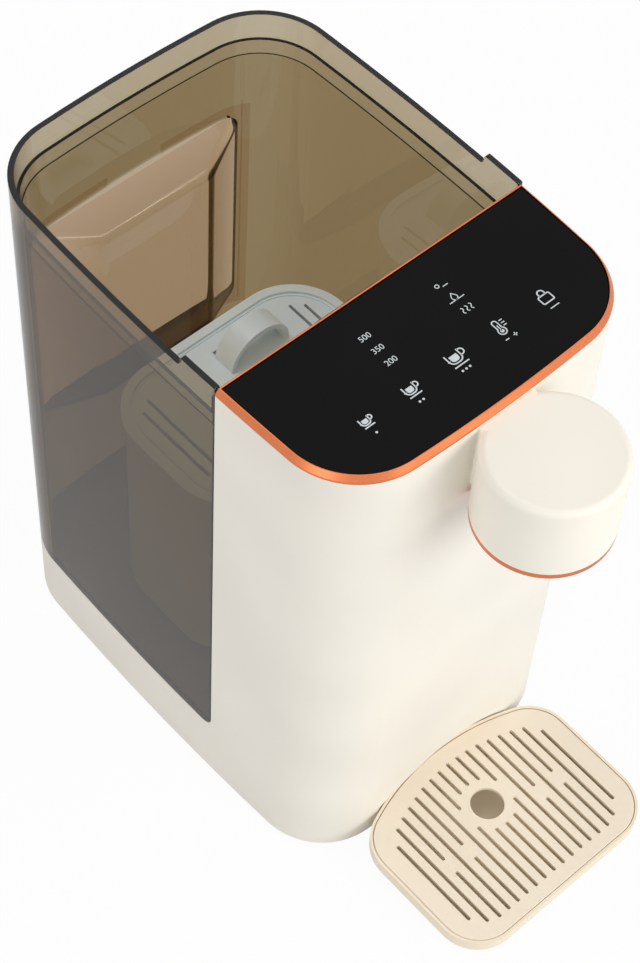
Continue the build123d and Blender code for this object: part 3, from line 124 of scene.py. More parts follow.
class Board:
    """A material's node tree with short calls to add and join nodes."""

    def __init__(self, name: str) -> None:
        """Start a material with an empty tree and an output.

        Args:
            name: name of the material.
        """
        self.material = bpy.data.materials.new(name)
        self.material.use_nodes = True
        self.nodes = self.material.node_tree.nodes
        self.links = self.material.node_tree.links
        self.nodes.clear()
        self.output = self.nodes.new("ShaderNodeOutputMaterial")

    def add(self, kind: str, **values: object) -> bpy.types.Node:
        """Add a node and set its inputs or its own settings.

        Args:
            kind: Blender's name of the node type.
            values: values by input name with underscores for spaces, or by setting name.

        Returns:
            The new node.
        """
        node = self.nodes.new(kind)
        for key, value in values.items():
            if hasattr(node, key):
                setattr(node, key, value)
            else:
                node.inputs[key.replace("_", " ")].default_value = value
        return node

    def join(self, source: bpy.types.NodeSocket, target: bpy.types.NodeSocket) -> None:
        """Join an output to an input."""
        self.links.new(source, target)

    def place(self, stretch: Colour = UNCHANGED) -> bpy.types.NodeSocket:
        """Give the object's own coordinates, stretched along its axes.

        Args:
            stretch: factor along X, Y and Z.

        Returns:
            The socket with the coordinates.
        """
        where = self.add("ShaderNodeTexCoord")
        mapping = self.add("ShaderNodeMapping")
        mapping.inputs["Scale"].default_value = stretch
        self.join(where.outputs["Object"], mapping.inputs["Vector"])
        return mapping.outputs["Vector"]

    def noise(self, size: float, detail: float = 2.0,
              stretch: Colour = UNCHANGED) -> bpy.types.NodeSocket:
        """Add a noise pattern whose grains have a size in metres.

        Args:
            size: size of one grain.
            detail: how many finer layers it has.
            stretch: factor along X, Y and Z.

        Returns:
            The socket with the pattern, from 0 to 1.
        """
        pattern = self.add("ShaderNodeTexNoise", Scale=1.0 / size, Detail=detail)
        self.join(self.place(stretch), pattern.inputs["Vector"])
        return pattern.outputs["Fac"]

    def spread(self, source: bpy.types.NodeSocket, low: float, high: float) -> bpy.types.NodeSocket:
        """Map a pattern's middle range onto two limits.

        Args:
            source: the pattern.
            low: value where the pattern is dark.
            high: value where the pattern is bright.

        Returns:
            The socket with the mapped value.
        """
        node = self.add("ShaderNodeMapRange")
        node.inputs["From Min"].default_value = PATTERN_DARK
        node.inputs["From Max"].default_value = PATTERN_BRIGHT
        node.inputs["To Min"].default_value = low
        node.inputs["To Max"].default_value = high
        self.join(source, node.inputs["Value"])
        return node.outputs["Result"]

    def tint(self, source: bpy.types.NodeSocket, first: Colour, second: Colour) -> bpy.types.NodeSocket:
        """Blend two colours by a pattern.

        Args:
            source: the pattern, from 0 to 1.
            first: linear colour at 0.
            second: linear colour at 1.

        Returns:
            The socket with the colour.
        """
        ramp = self.add("ShaderNodeValToRGB")
        ramp.color_ramp.elements[0].position = PATTERN_DARK
        ramp.color_ramp.elements[1].position = PATTERN_BRIGHT
        ramp.color_ramp.elements[0].color = (*first, 1.0)
        ramp.color_ramp.elements[1].color = (*second, 1.0)
        self.join(source, ramp.inputs["Fac"])
        return ramp.outputs["Color"]

    def relief(self, source: bpy.types.NodeSocket, depth: float,
               under: bpy.types.NodeSocket | None = None) -> bpy.types.NodeSocket:
        """Turn a pattern into fine relief.

        Args:
            source: the pattern that gives the height.
            depth: height of the relief in metres.
            under: relief that this one lies on.

        Returns:
            The socket with the normal.
        """
        bump = self.add("ShaderNodeBump", Strength=1.0, Distance=depth)
        self.join(source, bump.inputs["Height"])
        if under is not None:
            self.join(under, bump.inputs["Normal"])
        return bump.outputs["Normal"]

    def inside(self, low: Colour, high: Colour) -> bpy.types.NodeSocket:
        """Give 1 inside a box of the object's own coordinates and 0 outside it.

        Args:
            low: lowest corner of the box.
            high: highest corner of the box.

        Returns:
            The socket with the value.
        """
        axes = self.add("ShaderNodeSeparateXYZ")
        self.join(self.place(), axes.inputs["Vector"])
        result = None
        for axis, bottom, top in zip("XYZ", low, high):
            within = self.add("ShaderNodeMath", operation="COMPARE")
            self.join(axes.outputs[axis], within.inputs[0])
            within.inputs[1].default_value = (bottom + top) / 2
            within.inputs[2].default_value = (top - bottom) / 2
            if result is not None:
                product = self.add("ShaderNodeMath", operation="MULTIPLY")
                self.join(result, product.inputs[0])
                self.join(within.outputs[0], product.inputs[1])
                within = product
            result = within.outputs[0]
        return result

    def surface(self, **values: object) -> bpy.types.Node:
        """Add the main shader and join it to the output.

        Args:
            values: constant values by input name with underscores for spaces.

        Returns:
            The shader node.
        """
        shader = self.add("ShaderNodeBsdfPrincipled", **values)
        self.join(shader.outputs["BSDF"], self.output.inputs["Surface"])
        return shader


@dataclass(frozen=True)
class Moulding:
    """Injection moulded plastic with a spark-eroded grain and slow changes of tone."""

    name: str
    colour: Colour
    roughness: float = 0.42
    grain: float = 0.45 * MM
    depth: float = 0.006 * MM
    cloud: float = 0.03
    specular: float = 0.4

    def build(self) -> bpy.types.Material:
        """Make the material."""
        board = Board(self.name)
        shader = board.surface(Specular_IOR_Level=self.specular)
        paler = tuple(min(1.0, part * (1 + self.cloud)) for part in self.colour)
        deeper = tuple(part * (1 - self.cloud) for part in self.colour)
        board.join(board.tint(board.noise(60 * MM, 1.0), deeper, paler), shader.inputs["Base Color"])
        smear = board.spread(board.noise(9 * MM, 3.0), self.roughness - 0.05, self.roughness + 0.06)
        board.join(smear, shader.inputs["Roughness"])
        grain = board.relief(board.noise(self.grain, 2.0), self.depth)
        board.join(board.relief(board.noise(25 * MM, 1.0), 2 * self.depth, grain), shader.inputs["Normal"])
        return board.material


@dataclass(frozen=True)
class Plating:
    """Satin metal plating with fine brushing round the ring and faint clouding."""

    name: str
    colour: Colour
    roughness: float = 0.3
    anisotropy: float = 0.2

    def build(self) -> bpy.types.Material:
        """Make the material."""
        board = Board(self.name)
        shader = board.surface(Metallic=1.0, Anisotropic=self.anisotropy)
        deeper = tuple(part * 0.9 for part in self.colour)
        board.join(board.tint(board.noise(14 * MM, 2.0), deeper, self.colour), shader.inputs["Base Color"])
        lines = board.noise(0.35 * MM, 1.0, (1.0, 1.0, 6.0))
        board.join(board.spread(lines, self.roughness - 0.06, self.roughness + 0.08),
                   shader.inputs["Roughness"])
        board.join(board.relief(lines, 0.003 * MM), shader.inputs["Normal"])
        return board.material


@dataclass(frozen=True)
class PrintedGlass:
    """Glass with black print under it: deep, quiet reflections and faint wipe marks."""

    name: str
    colour: Colour
    roughness: float = 0.16
    specular: float = 0.055

    def build(self) -> bpy.types.Material:
        """Make the material."""
        board = Board(self.name)
        shader = board.surface(Specular_IOR_Level=self.specular, IOR=1.5)
        lighter = tuple(part * 1.35 for part in self.colour)
        board.join(board.tint(board.noise(70 * MM, 1.0), self.colour, lighter), shader.inputs["Base Color"])
        wipe = board.noise(5 * MM, 3.0, (1.0, 0.2, 1.0))
        board.join(board.spread(wipe, self.roughness - 0.04, self.roughness + 0.06),
                   shader.inputs["Roughness"])
        board.join(board.relief(board.noise(40 * MM, 1.0), 0.01 * MM), shader.inputs["Normal"])
        return board.material


@dataclass(frozen=True)
class SmokedClear:
    """Clear plastic dyed through, so that thick edges are darker than thin walls.

    Lamps shine straight through its surfaces, and a faint veil and the dye dim them. Its skin also carries
    painted shade: darker along the edges that end at the tower and on the walls of the grip pocket.
    """

    name: str
    fog: Colour
    density: float
    roughness: float = 0.015
    refraction: float = 1.45
    veil: Colour = (0.92, 0.92, 0.92)
    front_edge: float = 2.25 * MM
    edge_reach: float = 5.0 * MM
    edge_tone: Colour = (0.2, 0.17, 0.15)
    pocket_low: Colour = (-58 * MM, 119 * MM, 101 * MM)
    pocket_high: Colour = (58 * MM, 142.6 * MM, 231 * MM)
    pocket_tone: Colour = (0.78, 0.64, 0.55)

    def tone(self, board: Board) -> bpy.types.NodeSocket:
        """Paint shade on the edges that end at the tower and on the walls of the grip pocket.

        Args:
            board: the material's tree.

        Returns:
            The socket with the colour of the clear plastic's skin.
        """
        axes = board.add("ShaderNodeSeparateXYZ")
        board.join(board.place(), axes.inputs["Vector"])
        # painted shade: the skin darkens towards the front edge, where the tank meets the tower
        edge_shade_mask = board.add("ShaderNodeMapRange")
        edge_shade_mask.inputs["From Min"].default_value = self.front_edge + self.edge_reach
        edge_shade_mask.inputs["From Max"].default_value = self.front_edge - self.edge_reach
        board.join(axes.outputs["Y"], edge_shade_mask.inputs["Value"])
        # the painted shade of the edge and of the pocket, multiplied together
        both_painted_shades = board.add("ShaderNodeMixRGB", blend_type="MULTIPLY", Fac=1.0)
        board.join(board.tint(edge_shade_mask.outputs["Result"], UNCHANGED, self.edge_tone), both_painted_shades.inputs["Color1"])
        # painted shade on the walls of the grip pocket, a recess
        pocket = board.inside(self.pocket_low, self.pocket_high)
        board.join(board.tint(pocket, UNCHANGED, self.pocket_tone), both_painted_shades.inputs["Color2"])
        return both_painted_shades.outputs["Color"]

    def build(self) -> bpy.types.Material:
        """Make the material."""
        board = Board(self.name)
        shader = board.surface(Transmission_Weight=1.0, IOR=self.refraction, Roughness=self.roughness)
        # the base colour carries painted shade by the tower and in the grip pocket
        board.join(self.tone(board), shader.inputs["Base Color"])
        path = board.add("ShaderNodeLightPath")
        veil = board.add("ShaderNodeBsdfTransparent", Color=(*self.veil, 1.0))
        mix = board.add("ShaderNodeMixShader")
        board.join(path.outputs["Is Shadow Ray"], mix.inputs["Fac"])
        board.join(shader.outputs["BSDF"], mix.inputs[1])
        board.join(veil.outputs["BSDF"], mix.inputs[2])
        board.join(mix.outputs["Shader"], board.output.inputs["Surface"])
        dye = board.add("ShaderNodeVolumeAbsorption", Color=(*self.fog, 1.0), Density=self.density)
        board.join(dye.outputs["Volume"], board.output.inputs["Volume"])
        flow = board.noise(34 * MM, 1.5, (1.0, 1.0, 0.16))
        ripple = board.relief(flow, 0.12 * MM)
        board.join(board.relief(board.noise(8 * MM, 1.0), 0.004 * MM, ripple), shader.inputs["Normal"])
        return board.material


@dataclass(frozen=True)
class Rubber:
    """Soft rubber or silicone with a dull, slightly uneven skin."""

    name: str
    colour: Colour
    roughness: float = 0.7
    sheen: float = 0.15

    def build(self) -> bpy.types.Material:
        """Make the material."""
        board = Board(self.name)
        shader = board.surface(Sheen_Weight=self.sheen, Specular_IOR_Level=0.3)
        paler = tuple(min(1.0, part * 1.12) for part in self.colour)
        board.join(board.tint(board.noise(6 * MM, 3.0), self.colour, paler), shader.inputs["Base Color"])
        board.join(board.spread(board.noise(2 * MM, 2.0), self.roughness - 0.1, self.roughness + 0.08),
                   shader.inputs["Roughness"])
        board.join(board.relief(board.noise(0.3 * MM, 3.0), 0.012 * MM), shader.inputs["Normal"])
        return board.material


@dataclass(frozen=True)
class BareMetal:
    """Steel or zinc coated sheet with rolling marks along one axis."""

    name: str
    colour: Colour
    roughness: float = 0.3
    spangle: float = 0.06

    def build(self) -> bpy.types.Material:
        """Make the material."""
        board = Board(self.name)
        shader = board.surface(Metallic=1.0)
        deeper = tuple(part * (1 - 2 * self.spangle) for part in self.colour)
        board.join(board.tint(board.noise(7 * MM, 2.0), deeper, self.colour), shader.inputs["Base Color"])
        marks = board.noise(0.5 * MM, 2.0, (1.0, 1.0, 0.05))
        board.join(board.spread(marks, self.roughness - 0.08, self.roughness + 0.1),
                   shader.inputs["Roughness"])
        board.join(board.relief(marks, 0.004 * MM), shader.inputs["Normal"])
        return board.material


@dataclass(frozen=True)
class CircuitBoard:
    """Green solder mask with the copper's paler shapes showing through."""

    name: str
    colour: Colour
    track: Colour

    def build(self) -> bpy.types.Material:
        """Make the material."""
        board = Board(self.name)
        shader = board.surface(Coat_Weight=0.4, Coat_Roughness=0.15)
        cells = board.add("ShaderNodeTexVoronoi", distance="CHEBYCHEV", feature="F1", Scale=1 / (5 * MM))
        board.join(board.place(), cells.inputs["Vector"])
        board.join(board.tint(cells.outputs["Distance"], self.track, self.colour),
                   shader.inputs["Base Color"])
        board.join(board.spread(board.noise(4 * MM, 2.0), 0.3, 0.45), shader.inputs["Roughness"])
        board.join(board.relief(cells.outputs["Distance"], 0.02 * MM), shader.inputs["Normal"])
        return board.material


@dataclass(frozen=True)
class Granulate:
    """Block of pressed dark grains, as in a water filter."""

    name: str
    colour: Colour
    grain: float = 1.2 * MM

    def build(self) -> bpy.types.Material:
        """Make the material."""
        board = Board(self.name)
        shader = board.surface(Roughness=0.85)
        cells = board.add("ShaderNodeTexVoronoi", feature="F1", Scale=1 / self.grain)
        board.join(board.place(), cells.inputs["Vector"])
        paler = tuple(part * 2.2 for part in self.colour)
        board.join(board.tint(cells.outputs["Distance"], paler, self.colour), shader.inputs["Base Color"])
        board.join(board.relief(cells.outputs["Distance"], 0.3 * MM), shader.inputs["Normal"])
        return board.material


@dataclass(frozen=True)
class ScreenInk:
    """Opaque pale ink printed on the glass, with the faint unevenness of a screen print."""

    name: str
    colour: Colour

    def build(self) -> bpy.types.Material:
        """Make the material."""
        board = Board(self.name)
        shader = board.surface(Roughness=0.5, Specular_IOR_Level=0.2)
        deeper = tuple(part * 0.85 for part in self.colour)
        board.join(board.tint(board.noise(0.5 * MM, 2.0), deeper, self.colour), shader.inputs["Base Color"])
        return board.material


class Skin(Enum):
    """The finishes of the appliance, by the record's material slot."""

    CREAM_SHELL = Moulding("cream_shell", shade(240, 235, 224))
    CREAM_SPOUT = Moulding("cream_spout", shade(243, 238, 225), roughness=0.38)
    COPPER_TRIM = Plating("copper_trim", shade(227, 131, 86))
    BLACK_GLASS = PrintedGlass("black_glass", shade(15, 15, 16))
    SMOKE_TANK = SmokedClear("smoke_tank", (0.464, 0.336, 0.052), 420.0)
    WHITE_FILTER = Moulding("white_filter", shade(234, 245, 250), roughness=0.36)
    FILTER_MEDIA = Granulate("filter_media", shade(54, 50, 47))
    TRAY_PLASTIC = Moulding("tray_plastic", shade(244, 231, 208), roughness=0.4)
    GRILLE_PLASTIC = Moulding("grille_plastic", shade(244, 231, 210), roughness=0.4)
    DARK_PLASTIC = Moulding("dark_plastic", shade(48, 48, 50), roughness=0.5)
    GREY_PLASTIC = Moulding("grey_plastic", shade(165, 167, 168), roughness=0.45)
    CLEAR_GUIDE = Moulding("clear_guide", shade(230, 231, 232), roughness=0.3)
    BOARD_GREEN = CircuitBoard("board_green", shade(18, 84, 48), shade(36, 116, 66))
    STEEL = BareMetal("steel", shade(205, 206, 208))
    ZINC_SHEET = BareMetal("zinc_sheet", shade(190, 194, 198), roughness=0.42, spangle=0.1)
    RUBBER_BLACK = Rubber("rubber_black", shade(34, 34, 35))
    SILICONE = Rubber("silicone", shade(226, 226, 220), roughness=0.5, sheen=0.3)
    PANEL_INK = ScreenInk("panel_ink", shade(214, 220, 222))


class Workshop:
    """Holds the loaded frame and the materials, and dresses the frame's nodes."""

    def __init__(self) -> None:
        """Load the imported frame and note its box."""
        self.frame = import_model()
        self.frame_box = [list(corner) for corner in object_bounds()]
        self.made: dict[Skin, bpy.types.Material] = {}
        self.slots = {part["node"]: part["material_slot"] for part in self.frame["record"]["subparts"]}

    def material(self, skin: Skin) -> bpy.types.Material:
        """Give a finish's material, built on first use."""
        if skin not in self.made:
            self.made[skin] = skin.value.build()
        return self.made[skin]

    def dress(self, *nodes: str) -> None:
        """Give frame nodes the finish that the record names for them.

        Args:
            nodes: names of the nodes.
        """
        for node in nodes:
            piece = self.frame["nodes"][node]
            skin = Skin[self.slots[node].upper()]
            if not piece.material_slots:
                piece.data.materials.append(None)
            for slot in piece.material_slots:
                slot.material = self.material(skin)

    def hang(self, mesh: bmesh.types.BMesh, name: str, body: str, skin: Skin) -> bpy.types.Object:
        """Turn a finished mesh into a piece that rides on a body.

        Args:
            mesh: the mesh in the frame's axes; it is freed here.
            name: name of the piece.
            body: body of the frame that carries it.
            skin: its finish.

        Returns:
            The new piece.
        """
        bmesh.ops.recalc_face_normals(mesh, faces=mesh.faces)
        data = bpy.data.meshes.new(name)
        mesh.to_mesh(data)
        mesh.free()
        piece = bpy.data.objects.new(name, data)
        bpy.context.scene.collection.objects.link(piece)
        data.materials.append(self.material(skin))
        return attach(piece, body)


@dataclass
class ProductCamera:
    """The camera of the catalogue picture, looking down on the front left corner."""

    place: Colour = (-0.41185, -0.38279, 0.96161)
    turn: float = -45.4795
    tilt: float = 55.1062
    roll: float = 4.3744
    lens: float = 89.336
    sensor: float = 36.0
    nearest: float = 0.01

    def build(self) -> bpy.types.Object:
        """Make the camera and hand it to the scene.

        Returns:
            The camera.
        """
        turn, tilt, roll = (math.radians(angle) for angle in (self.turn, self.tilt, self.roll))
        back = Vector((math.sin(turn) * math.cos(tilt), -math.cos(turn) * math.cos(tilt), math.sin(tilt)))
        right = (-back).cross(Vector((0, 0, 1))).normalized()
        up = right.cross(-back)
        leaned_right = right * math.cos(roll) + up * math.sin(roll)
        leaned_up = up * math.cos(roll) - right * math.sin(roll)
        data = bpy.data.cameras.new("catalogue_camera")
        data.lens = self.lens
        data.sensor_width = self.sensor
        data.clip_start = self.nearest
        camera = bpy.data.objects.new("catalogue_camera", data)
        axes = Matrix((leaned_right, leaned_up, back)).transposed().to_4x4()
        camera.matrix_world = Matrix.Translation(Vector(self.place)) @ axes
        bpy.context.scene.collection.objects.link(camera)
        bpy.context.scene.camera = camera
        return camera


@dataclass
class Lamp:
    """A soft box: where it hangs, what it looks at, how large and bright it is."""

    name: str
    place: Colour
    size: float
    power: float
    target: Colour = (0.0, 0.0, 0.14)
    colour: Colour = (1.0, 1.0, 1.0)

    def build(self) -> bpy.types.Object:
        """Make the lamp and aim it."""
        data = bpy.data.lights.new(self.name, "AREA")
        data.shape = "DISK"
        data.size = self.size
        data.energy = self.power
        data.color = self.colour
        lamp = bpy.data.objects.new(self.name, data)
        lamp.location = self.place
        aim = Vector(self.target) - Vector(self.place)
        lamp.rotation_euler = aim.to_track_quat("-Z", "Y").to_euler()
        bpy.context.scene.collection.objects.link(lamp)
        return lamp


@dataclass
class Studio:
    """White sweep, pale floor and soft boxes."""

    floor_half: float = 4.0
    floor_cells: int = 8
    floor_tone: Colour = (0.82, 0.82, 0.82)
    floor_glow: float = 0.95
    floor_mirror: float = 0.2
    floor_through: float = 0.7
    room_light: float = 0.5
    lamps: list[Lamp] = field(default_factory=lambda: [
        Lamp("right_softbox", (1.7, -1.4, 1.2), 1.8, 14.5),
        Lamp("front_softbox", (0.5, -2.2, 1.2), 1.6, 21.5),
        Lamp("left_softbox", (-2.2, -0.6, 1.1), 1.6, 12.5),
        Lamp("top_softbox", (-0.2, 0.4, 1.6), 0.6, 4.2, (0.0, 0.07, 0.2)),
    ])

    def floor(self) -> bpy.types.Object:
        """Make the pale floor, which shows white and keeps the shadow.

        Returns:
            The floor.
        """
        board = Board("studio_floor")
        paint = board.add("ShaderNodeBsdfDiffuse", Color=(*self.floor_tone, 1.0))
        white = board.add("ShaderNodeEmission", Color=(1.0, 1.0, 1.0, 1.0), Strength=1.0)
        mix = board.add("ShaderNodeMixShader")
        board.join(self.seen(board), mix.inputs["Fac"])
        board.join(paint.outputs["BSDF"], mix.inputs[1])
        board.join(white.outputs["Emission"], mix.inputs[2])
        board.join(mix.outputs["Shader"], board.output.inputs["Surface"])
        sheet = bmesh.new()
        bmesh.ops.create_grid(sheet, x_segments=self.floor_cells, y_segments=self.floor_cells,
                              size=self.floor_half)
        data = bpy.data.meshes.new("studio_floor")
        sheet.to_mesh(data)
        sheet.free()
        data.materials.append(board.material)
        floor = bpy.data.objects.new("studio_floor", data)
        bpy.context.scene.collection.objects.link(floor)
        floor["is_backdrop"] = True
        return floor

    def seen(self, board: Board) -> bpy.types.NodeSocket:
        """Give how white the floor shows: most to the camera, less in mirrors and through glass.

        Args:
            board: the floor's tree.

        Returns:
            The socket with the share of white.
        """
        path = board.add("ShaderNodeLightPath")
        result = None
        for ray, share in (("Is Camera Ray", self.floor_glow), ("Is Glossy Ray", self.floor_mirror),
                           ("Is Transmission Ray", self.floor_through)):
            part = board.add("ShaderNodeMath", operation="MULTIPLY")
            board.join(path.outputs[ray], part.inputs[0])
            part.inputs[1].default_value = share
            if result is not None:
                most = board.add("ShaderNodeMath", operation="MAXIMUM")
                board.join(result, most.inputs[0])
                board.join(part.outputs[0], most.inputs[1])
                part = most
            result = part.outputs[0]
        return result

    def sky(self) -> None:
        """Make the room: white where it is seen, softer where it lights."""
        world = bpy.data.worlds.new("studio_room")
        bpy.context.scene.world = world
        world.use_nodes = True
        nodes, links = world.node_tree.nodes, world.node_tree.links
        nodes.clear()
        output = nodes.new("ShaderNodeOutputWorld")
        glow = nodes.new("ShaderNodeBackground")
        path = nodes.new("ShaderNodeLightPath")
        first = nodes.new("ShaderNodeMath")
        second = nodes.new("ShaderNodeMath")
        level = nodes.new("ShaderNodeMapRange")
        first.operation = second.operation = "MAXIMUM"
        glow.inputs["Color"].default_value = (1.0, 1.0, 1.0, 1.0)
        level.inputs["To Min"].default_value = self.room_light
        level.inputs["To Max"].default_value = 1.0
        links.new(path.outputs["Is Camera Ray"], first.inputs[0])
        links.new(path.outputs["Is Glossy Ray"], first.inputs[1])
        links.new(first.outputs[0], second.inputs[0])
        links.new(path.outputs["Is Transmission Ray"], second.inputs[1])
        links.new(second.outputs[0], level.inputs["Value"])
        links.new(level.outputs["Result"], glow.inputs["Strength"])
        links.new(glow.outputs["Background"], output.inputs["Surface"])

    def build(self) -> None:
        """Set up floor, room and lamps."""
        self.floor()
        self.sky()
        for lamp in self.lamps:
            lamp.build()


class InkSheet:
    """Flat printed marks, drawn as thin closed slabs in millimetres on the panel."""

    sharpest: float = 0.4

    def __init__(self, height: float, thickness: float) -> None:
        """Start an empty sheet.

        Args:
            height: height of the print's underside.
            thickness: thickness of the ink.
        """
        self.mesh = bmesh.new()
        self.height = height
        self.thickness = thickness

    def slab(self, outline: list[Point]) -> None:
        """Add one closed slab with the given outline.

        Args:
            outline: corners in order, in millimetres from the split line.
        """
        top = self.height + self.thickness
        low = [self.mesh.verts.new((x * MM, y * MM + SPLIT_Y, self.height)) for x, y in outline]
        high = [self.mesh.verts.new((x * MM, y * MM + SPLIT_Y, top)) for x, y in outline]
        self.mesh.faces.new(list(reversed(low)))
        self.mesh.faces.new(high)
        for index in range(len(outline)):
            after = (index + 1) % len(outline)
            self.mesh.faces.new((low[index], low[after], high[after], high[index]))

    def dot(self, centre: Point, radius: float, steps: int = 20) -> None:
        """Add a round dot."""
        self.slab([(centre[0] + radius * math.cos(2 * math.pi * step / steps),
                    centre[1] + radius * math.sin(2 * math.pi * step / steps)) for step in range(steps)])

    def line(self, points: list[Point], width: float, closed: bool = False) -> None:
        """Add a line of even width with mitred corners.

        Args:
            points: points along its middle.
            width: width of the line.
            closed: whether the last point joins the first.
        """
        count = len(points)
        left, right = [], []
        for index, (x, y) in enumerate(points):
            before = points[index - 1] if index or closed else None
            after = points[(index + 1) % count] if index + 1 < count or closed else None
            ways = [Vector((b[0] - a[0], b[1] - a[1])).normalized()
                    for a, b in ((before, (x, y)), ((x, y), after)) if a and b]
            way = sum(ways, Vector((0.0, 0.0))).normalized()
            reach = width / 2 / max(self.sharpest, way.dot(ways[0]))
            left.append((x - way.y * reach, y + way.x * reach))
            right.append((x + way.y * reach, y - way.x * reach))
        for index in range(count if closed else count - 1):
            after = (index + 1) % count
            self.slab([right[index], right[after], left[after], left[index]])


def bow(centre: Point, radius: float, start: float, stop: float, steps: int = 10) -> list[Point]:
    """Give points along an arc.

    Args:
        centre: centre of the arc.
        radius: its radius.
        start: first angle in degrees.
        stop: last angle in degrees.
        steps: number of stretches.

    Returns:
        The points from start to stop.
    """
    angles = [math.radians(start + (stop - start) * step / steps) for step in range(steps + 1)]
    return [(centre[0] + radius * math.cos(angle), centre[1] + radius * math.sin(angle)) for angle in angles]


def moved(points: list[Point], place: Point, scale: float = 1.0) -> list[Point]:
    """Scale points and move them to a place."""
    return [(place[0] + x * scale, place[1] + y * scale) for x, y in points]


class Key(Enum):
    """The five touch keys, from left to right."""

    SMALL_CUP = (-45.4, 5.0)
    MEDIUM_CUP = (-23.6, 6.1)
    LARGE_CUP = (-1.5, 7.4)
    WARMTH = (21.2, 6.6)
    LOCK = (43.6, 6.4)


@dataclass
class TouchPanel:
    """Printed glass in its copper coloured ring, with the carrier and boards under it."""

    key_row: float = -44.6
    mark_row: float = -50.4
    stroke: float = 0.55
    ink: float = 0.02 * MM
    lift: float = 0.01 * MM
    volume_x: float = -20.0
    volume_rows: tuple[float, float, float] = (-16.5, -23.5, -30.5)
    volumes: tuple[str, str, str] = ("500", "350", "200")
    digit_height: float = 3.6
    units: float = 6.0
    firm: float = 0.9
    thin: float = 0.8
    fine: float = 0.7
    light_x: float = 18.0
    nodes: tuple[str, ...] = ("trim_ring", "glass_panel", "panel_carrier", "touch_board", "board_screws",
                              "light_guide", "touch_springs")

    def cup(self, sheet: InkSheet, place: Point, size: float) -> None:
        """Draw a cup with its handle, its fill and a saucer line.

        Args:
            sheet: sheet to draw on.
            place: middle of the mark.
            size: height of the mark.
        """
        unit = size / self.units
        bowl = [(-2.4, 2.6), (-2.4, 0.2), *bow((-0.6, 0.2), 1.8, 180, 270, 6),
                *bow((0.6, 0.2), 1.8, 270, 360, 6), (2.4, 2.6)]
        ear = [(2.4, 2.2), *bow((3.0, 1.1), 1.1, 90, -90, 8), (2.4, 0.0)]
        fill = [(-1.5, 1.5), (-1.5, 0.1), *bow((-0.5, 0.1), 1.0, 180, 270, 4),
                *bow((0.5, 0.1), 1.0, 270, 360, 4), (1.5, 1.5)]
        sheet.line(moved(bowl, place, unit), self.stroke)
        sheet.line(moved(ear, place, unit), self.stroke)
        sheet.slab(moved(fill, place, unit))
        sheet.line(moved([(-2.6, -2.7), (3.0, -2.7)], place, unit), self.stroke)

    def warmth(self, sheet: InkSheet, place: Point, size: float) -> None:
        """Draw an upright thermometer with its scale."""
        unit = size / self.units
        tube = [*bow((-0.6, 2.3), 0.95, 180, 0, 8), *bow((-0.6, -1.6), 1.55, 52, -232, 16)]
        sheet.line(moved(tube, place, unit), self.stroke * self.firm, closed=True)
        sheet.dot(moved([(-0.6, -1.6)], place, unit)[0], 0.75 * unit)
        sheet.line(moved([(-0.6, 1.2), (-0.6, -1.6)], place, unit), self.stroke * self.thin)
        for rise in (2.2, 1.0, -0.2):
            sheet.line(moved([(1.3, rise), (2.7, rise)], place, unit), self.stroke * self.thin)

    def lock(self, sheet: InkSheet, place: Point, size: float) -> None:
        """Draw a closed padlock."""
        unit = size / self.units
        case = [*bow((1.9, 0.0), 0.6, 0, 90, 4), *bow((-1.9, 0.0), 0.6, 90, 180, 4),
                *bow((-1.9, -2.3), 0.6, 180, 270, 4), *bow((1.9, -2.3), 0.6, 270, 360, 4)]
        loop = [(-1.3, 0.6), (-1.3, 1.6), *bow((0.0, 1.6), 1.3, 180, 0, 10), (1.3, 0.6)]
        sheet.line(moved(case, place, unit), self.stroke, closed=True)
        sheet.line(moved(loop, place, unit), self.stroke)

    def lights(self, sheet: InkSheet) -> None:
        """Draw the three small signs at the right: degree, water level, steam."""
        ring, level, steam = [(self.light_x, row) for row in self.volume_rows]
        sheet.line(moved(bow((-1.6, 0.5), 0.8, 0, 342, 19), ring), self.stroke * self.fine, closed=True)
        sheet.line(moved([(0.1, -0.9), (2.6, -0.9)], ring), self.stroke * self.fine)
        drop = [(0.0, 1.9), *bow((0.0, -0.3), 1.25, 35, -215, 14)]
        sheet.line(moved(drop, level), self.stroke * self.fine, closed=True)
        sheet.line(moved([(-3.6, -1.6), (3.6, -1.6)], level), self.stroke * self.fine)
        for across in (-2.0, 0.0, 2.0):
            rises = [-1.5 + 0.25 * step for step in range(13)]
            wave = [(across + 0.42 * math.sin(rise * 2.4), rise) for rise in rises]
            sheet.line(moved(wave, steam), self.stroke * self.fine)

    def labels(self, sheet: InkSheet) -> None:
        """Draw the plain marks below the keys: one to three dots, less and more, a bar."""
        for key, dots in ((Key.SMALL_CUP, 1), (Key.MEDIUM_CUP, 2), (Key.LARGE_CUP, 3)):
            for index in range(dots):
                sheet.dot((key.value[0] + 1.8 * (index - (dots - 1) / 2), self.mark_row), 0.5)
        warm = Key.WARMTH.value[0]
        sheet.line([(warm - 2.9, self.mark_row), (warm - 1.1, self.mark_row)], self.stroke * self.thin)
        sheet.line([(warm + 1.1, self.mark_row), (warm + 2.9, self.mark_row)], self.stroke * self.thin)
        sheet.line([(warm + 2.0, self.mark_row - 0.9), (warm + 2.0, self.mark_row + 0.9)],
                   self.stroke * self.thin)
        shut = Key.LOCK.value[0]
        sheet.line([(shut - 2.2, self.mark_row), (shut + 2.2, self.mark_row)], self.stroke * self.thin)

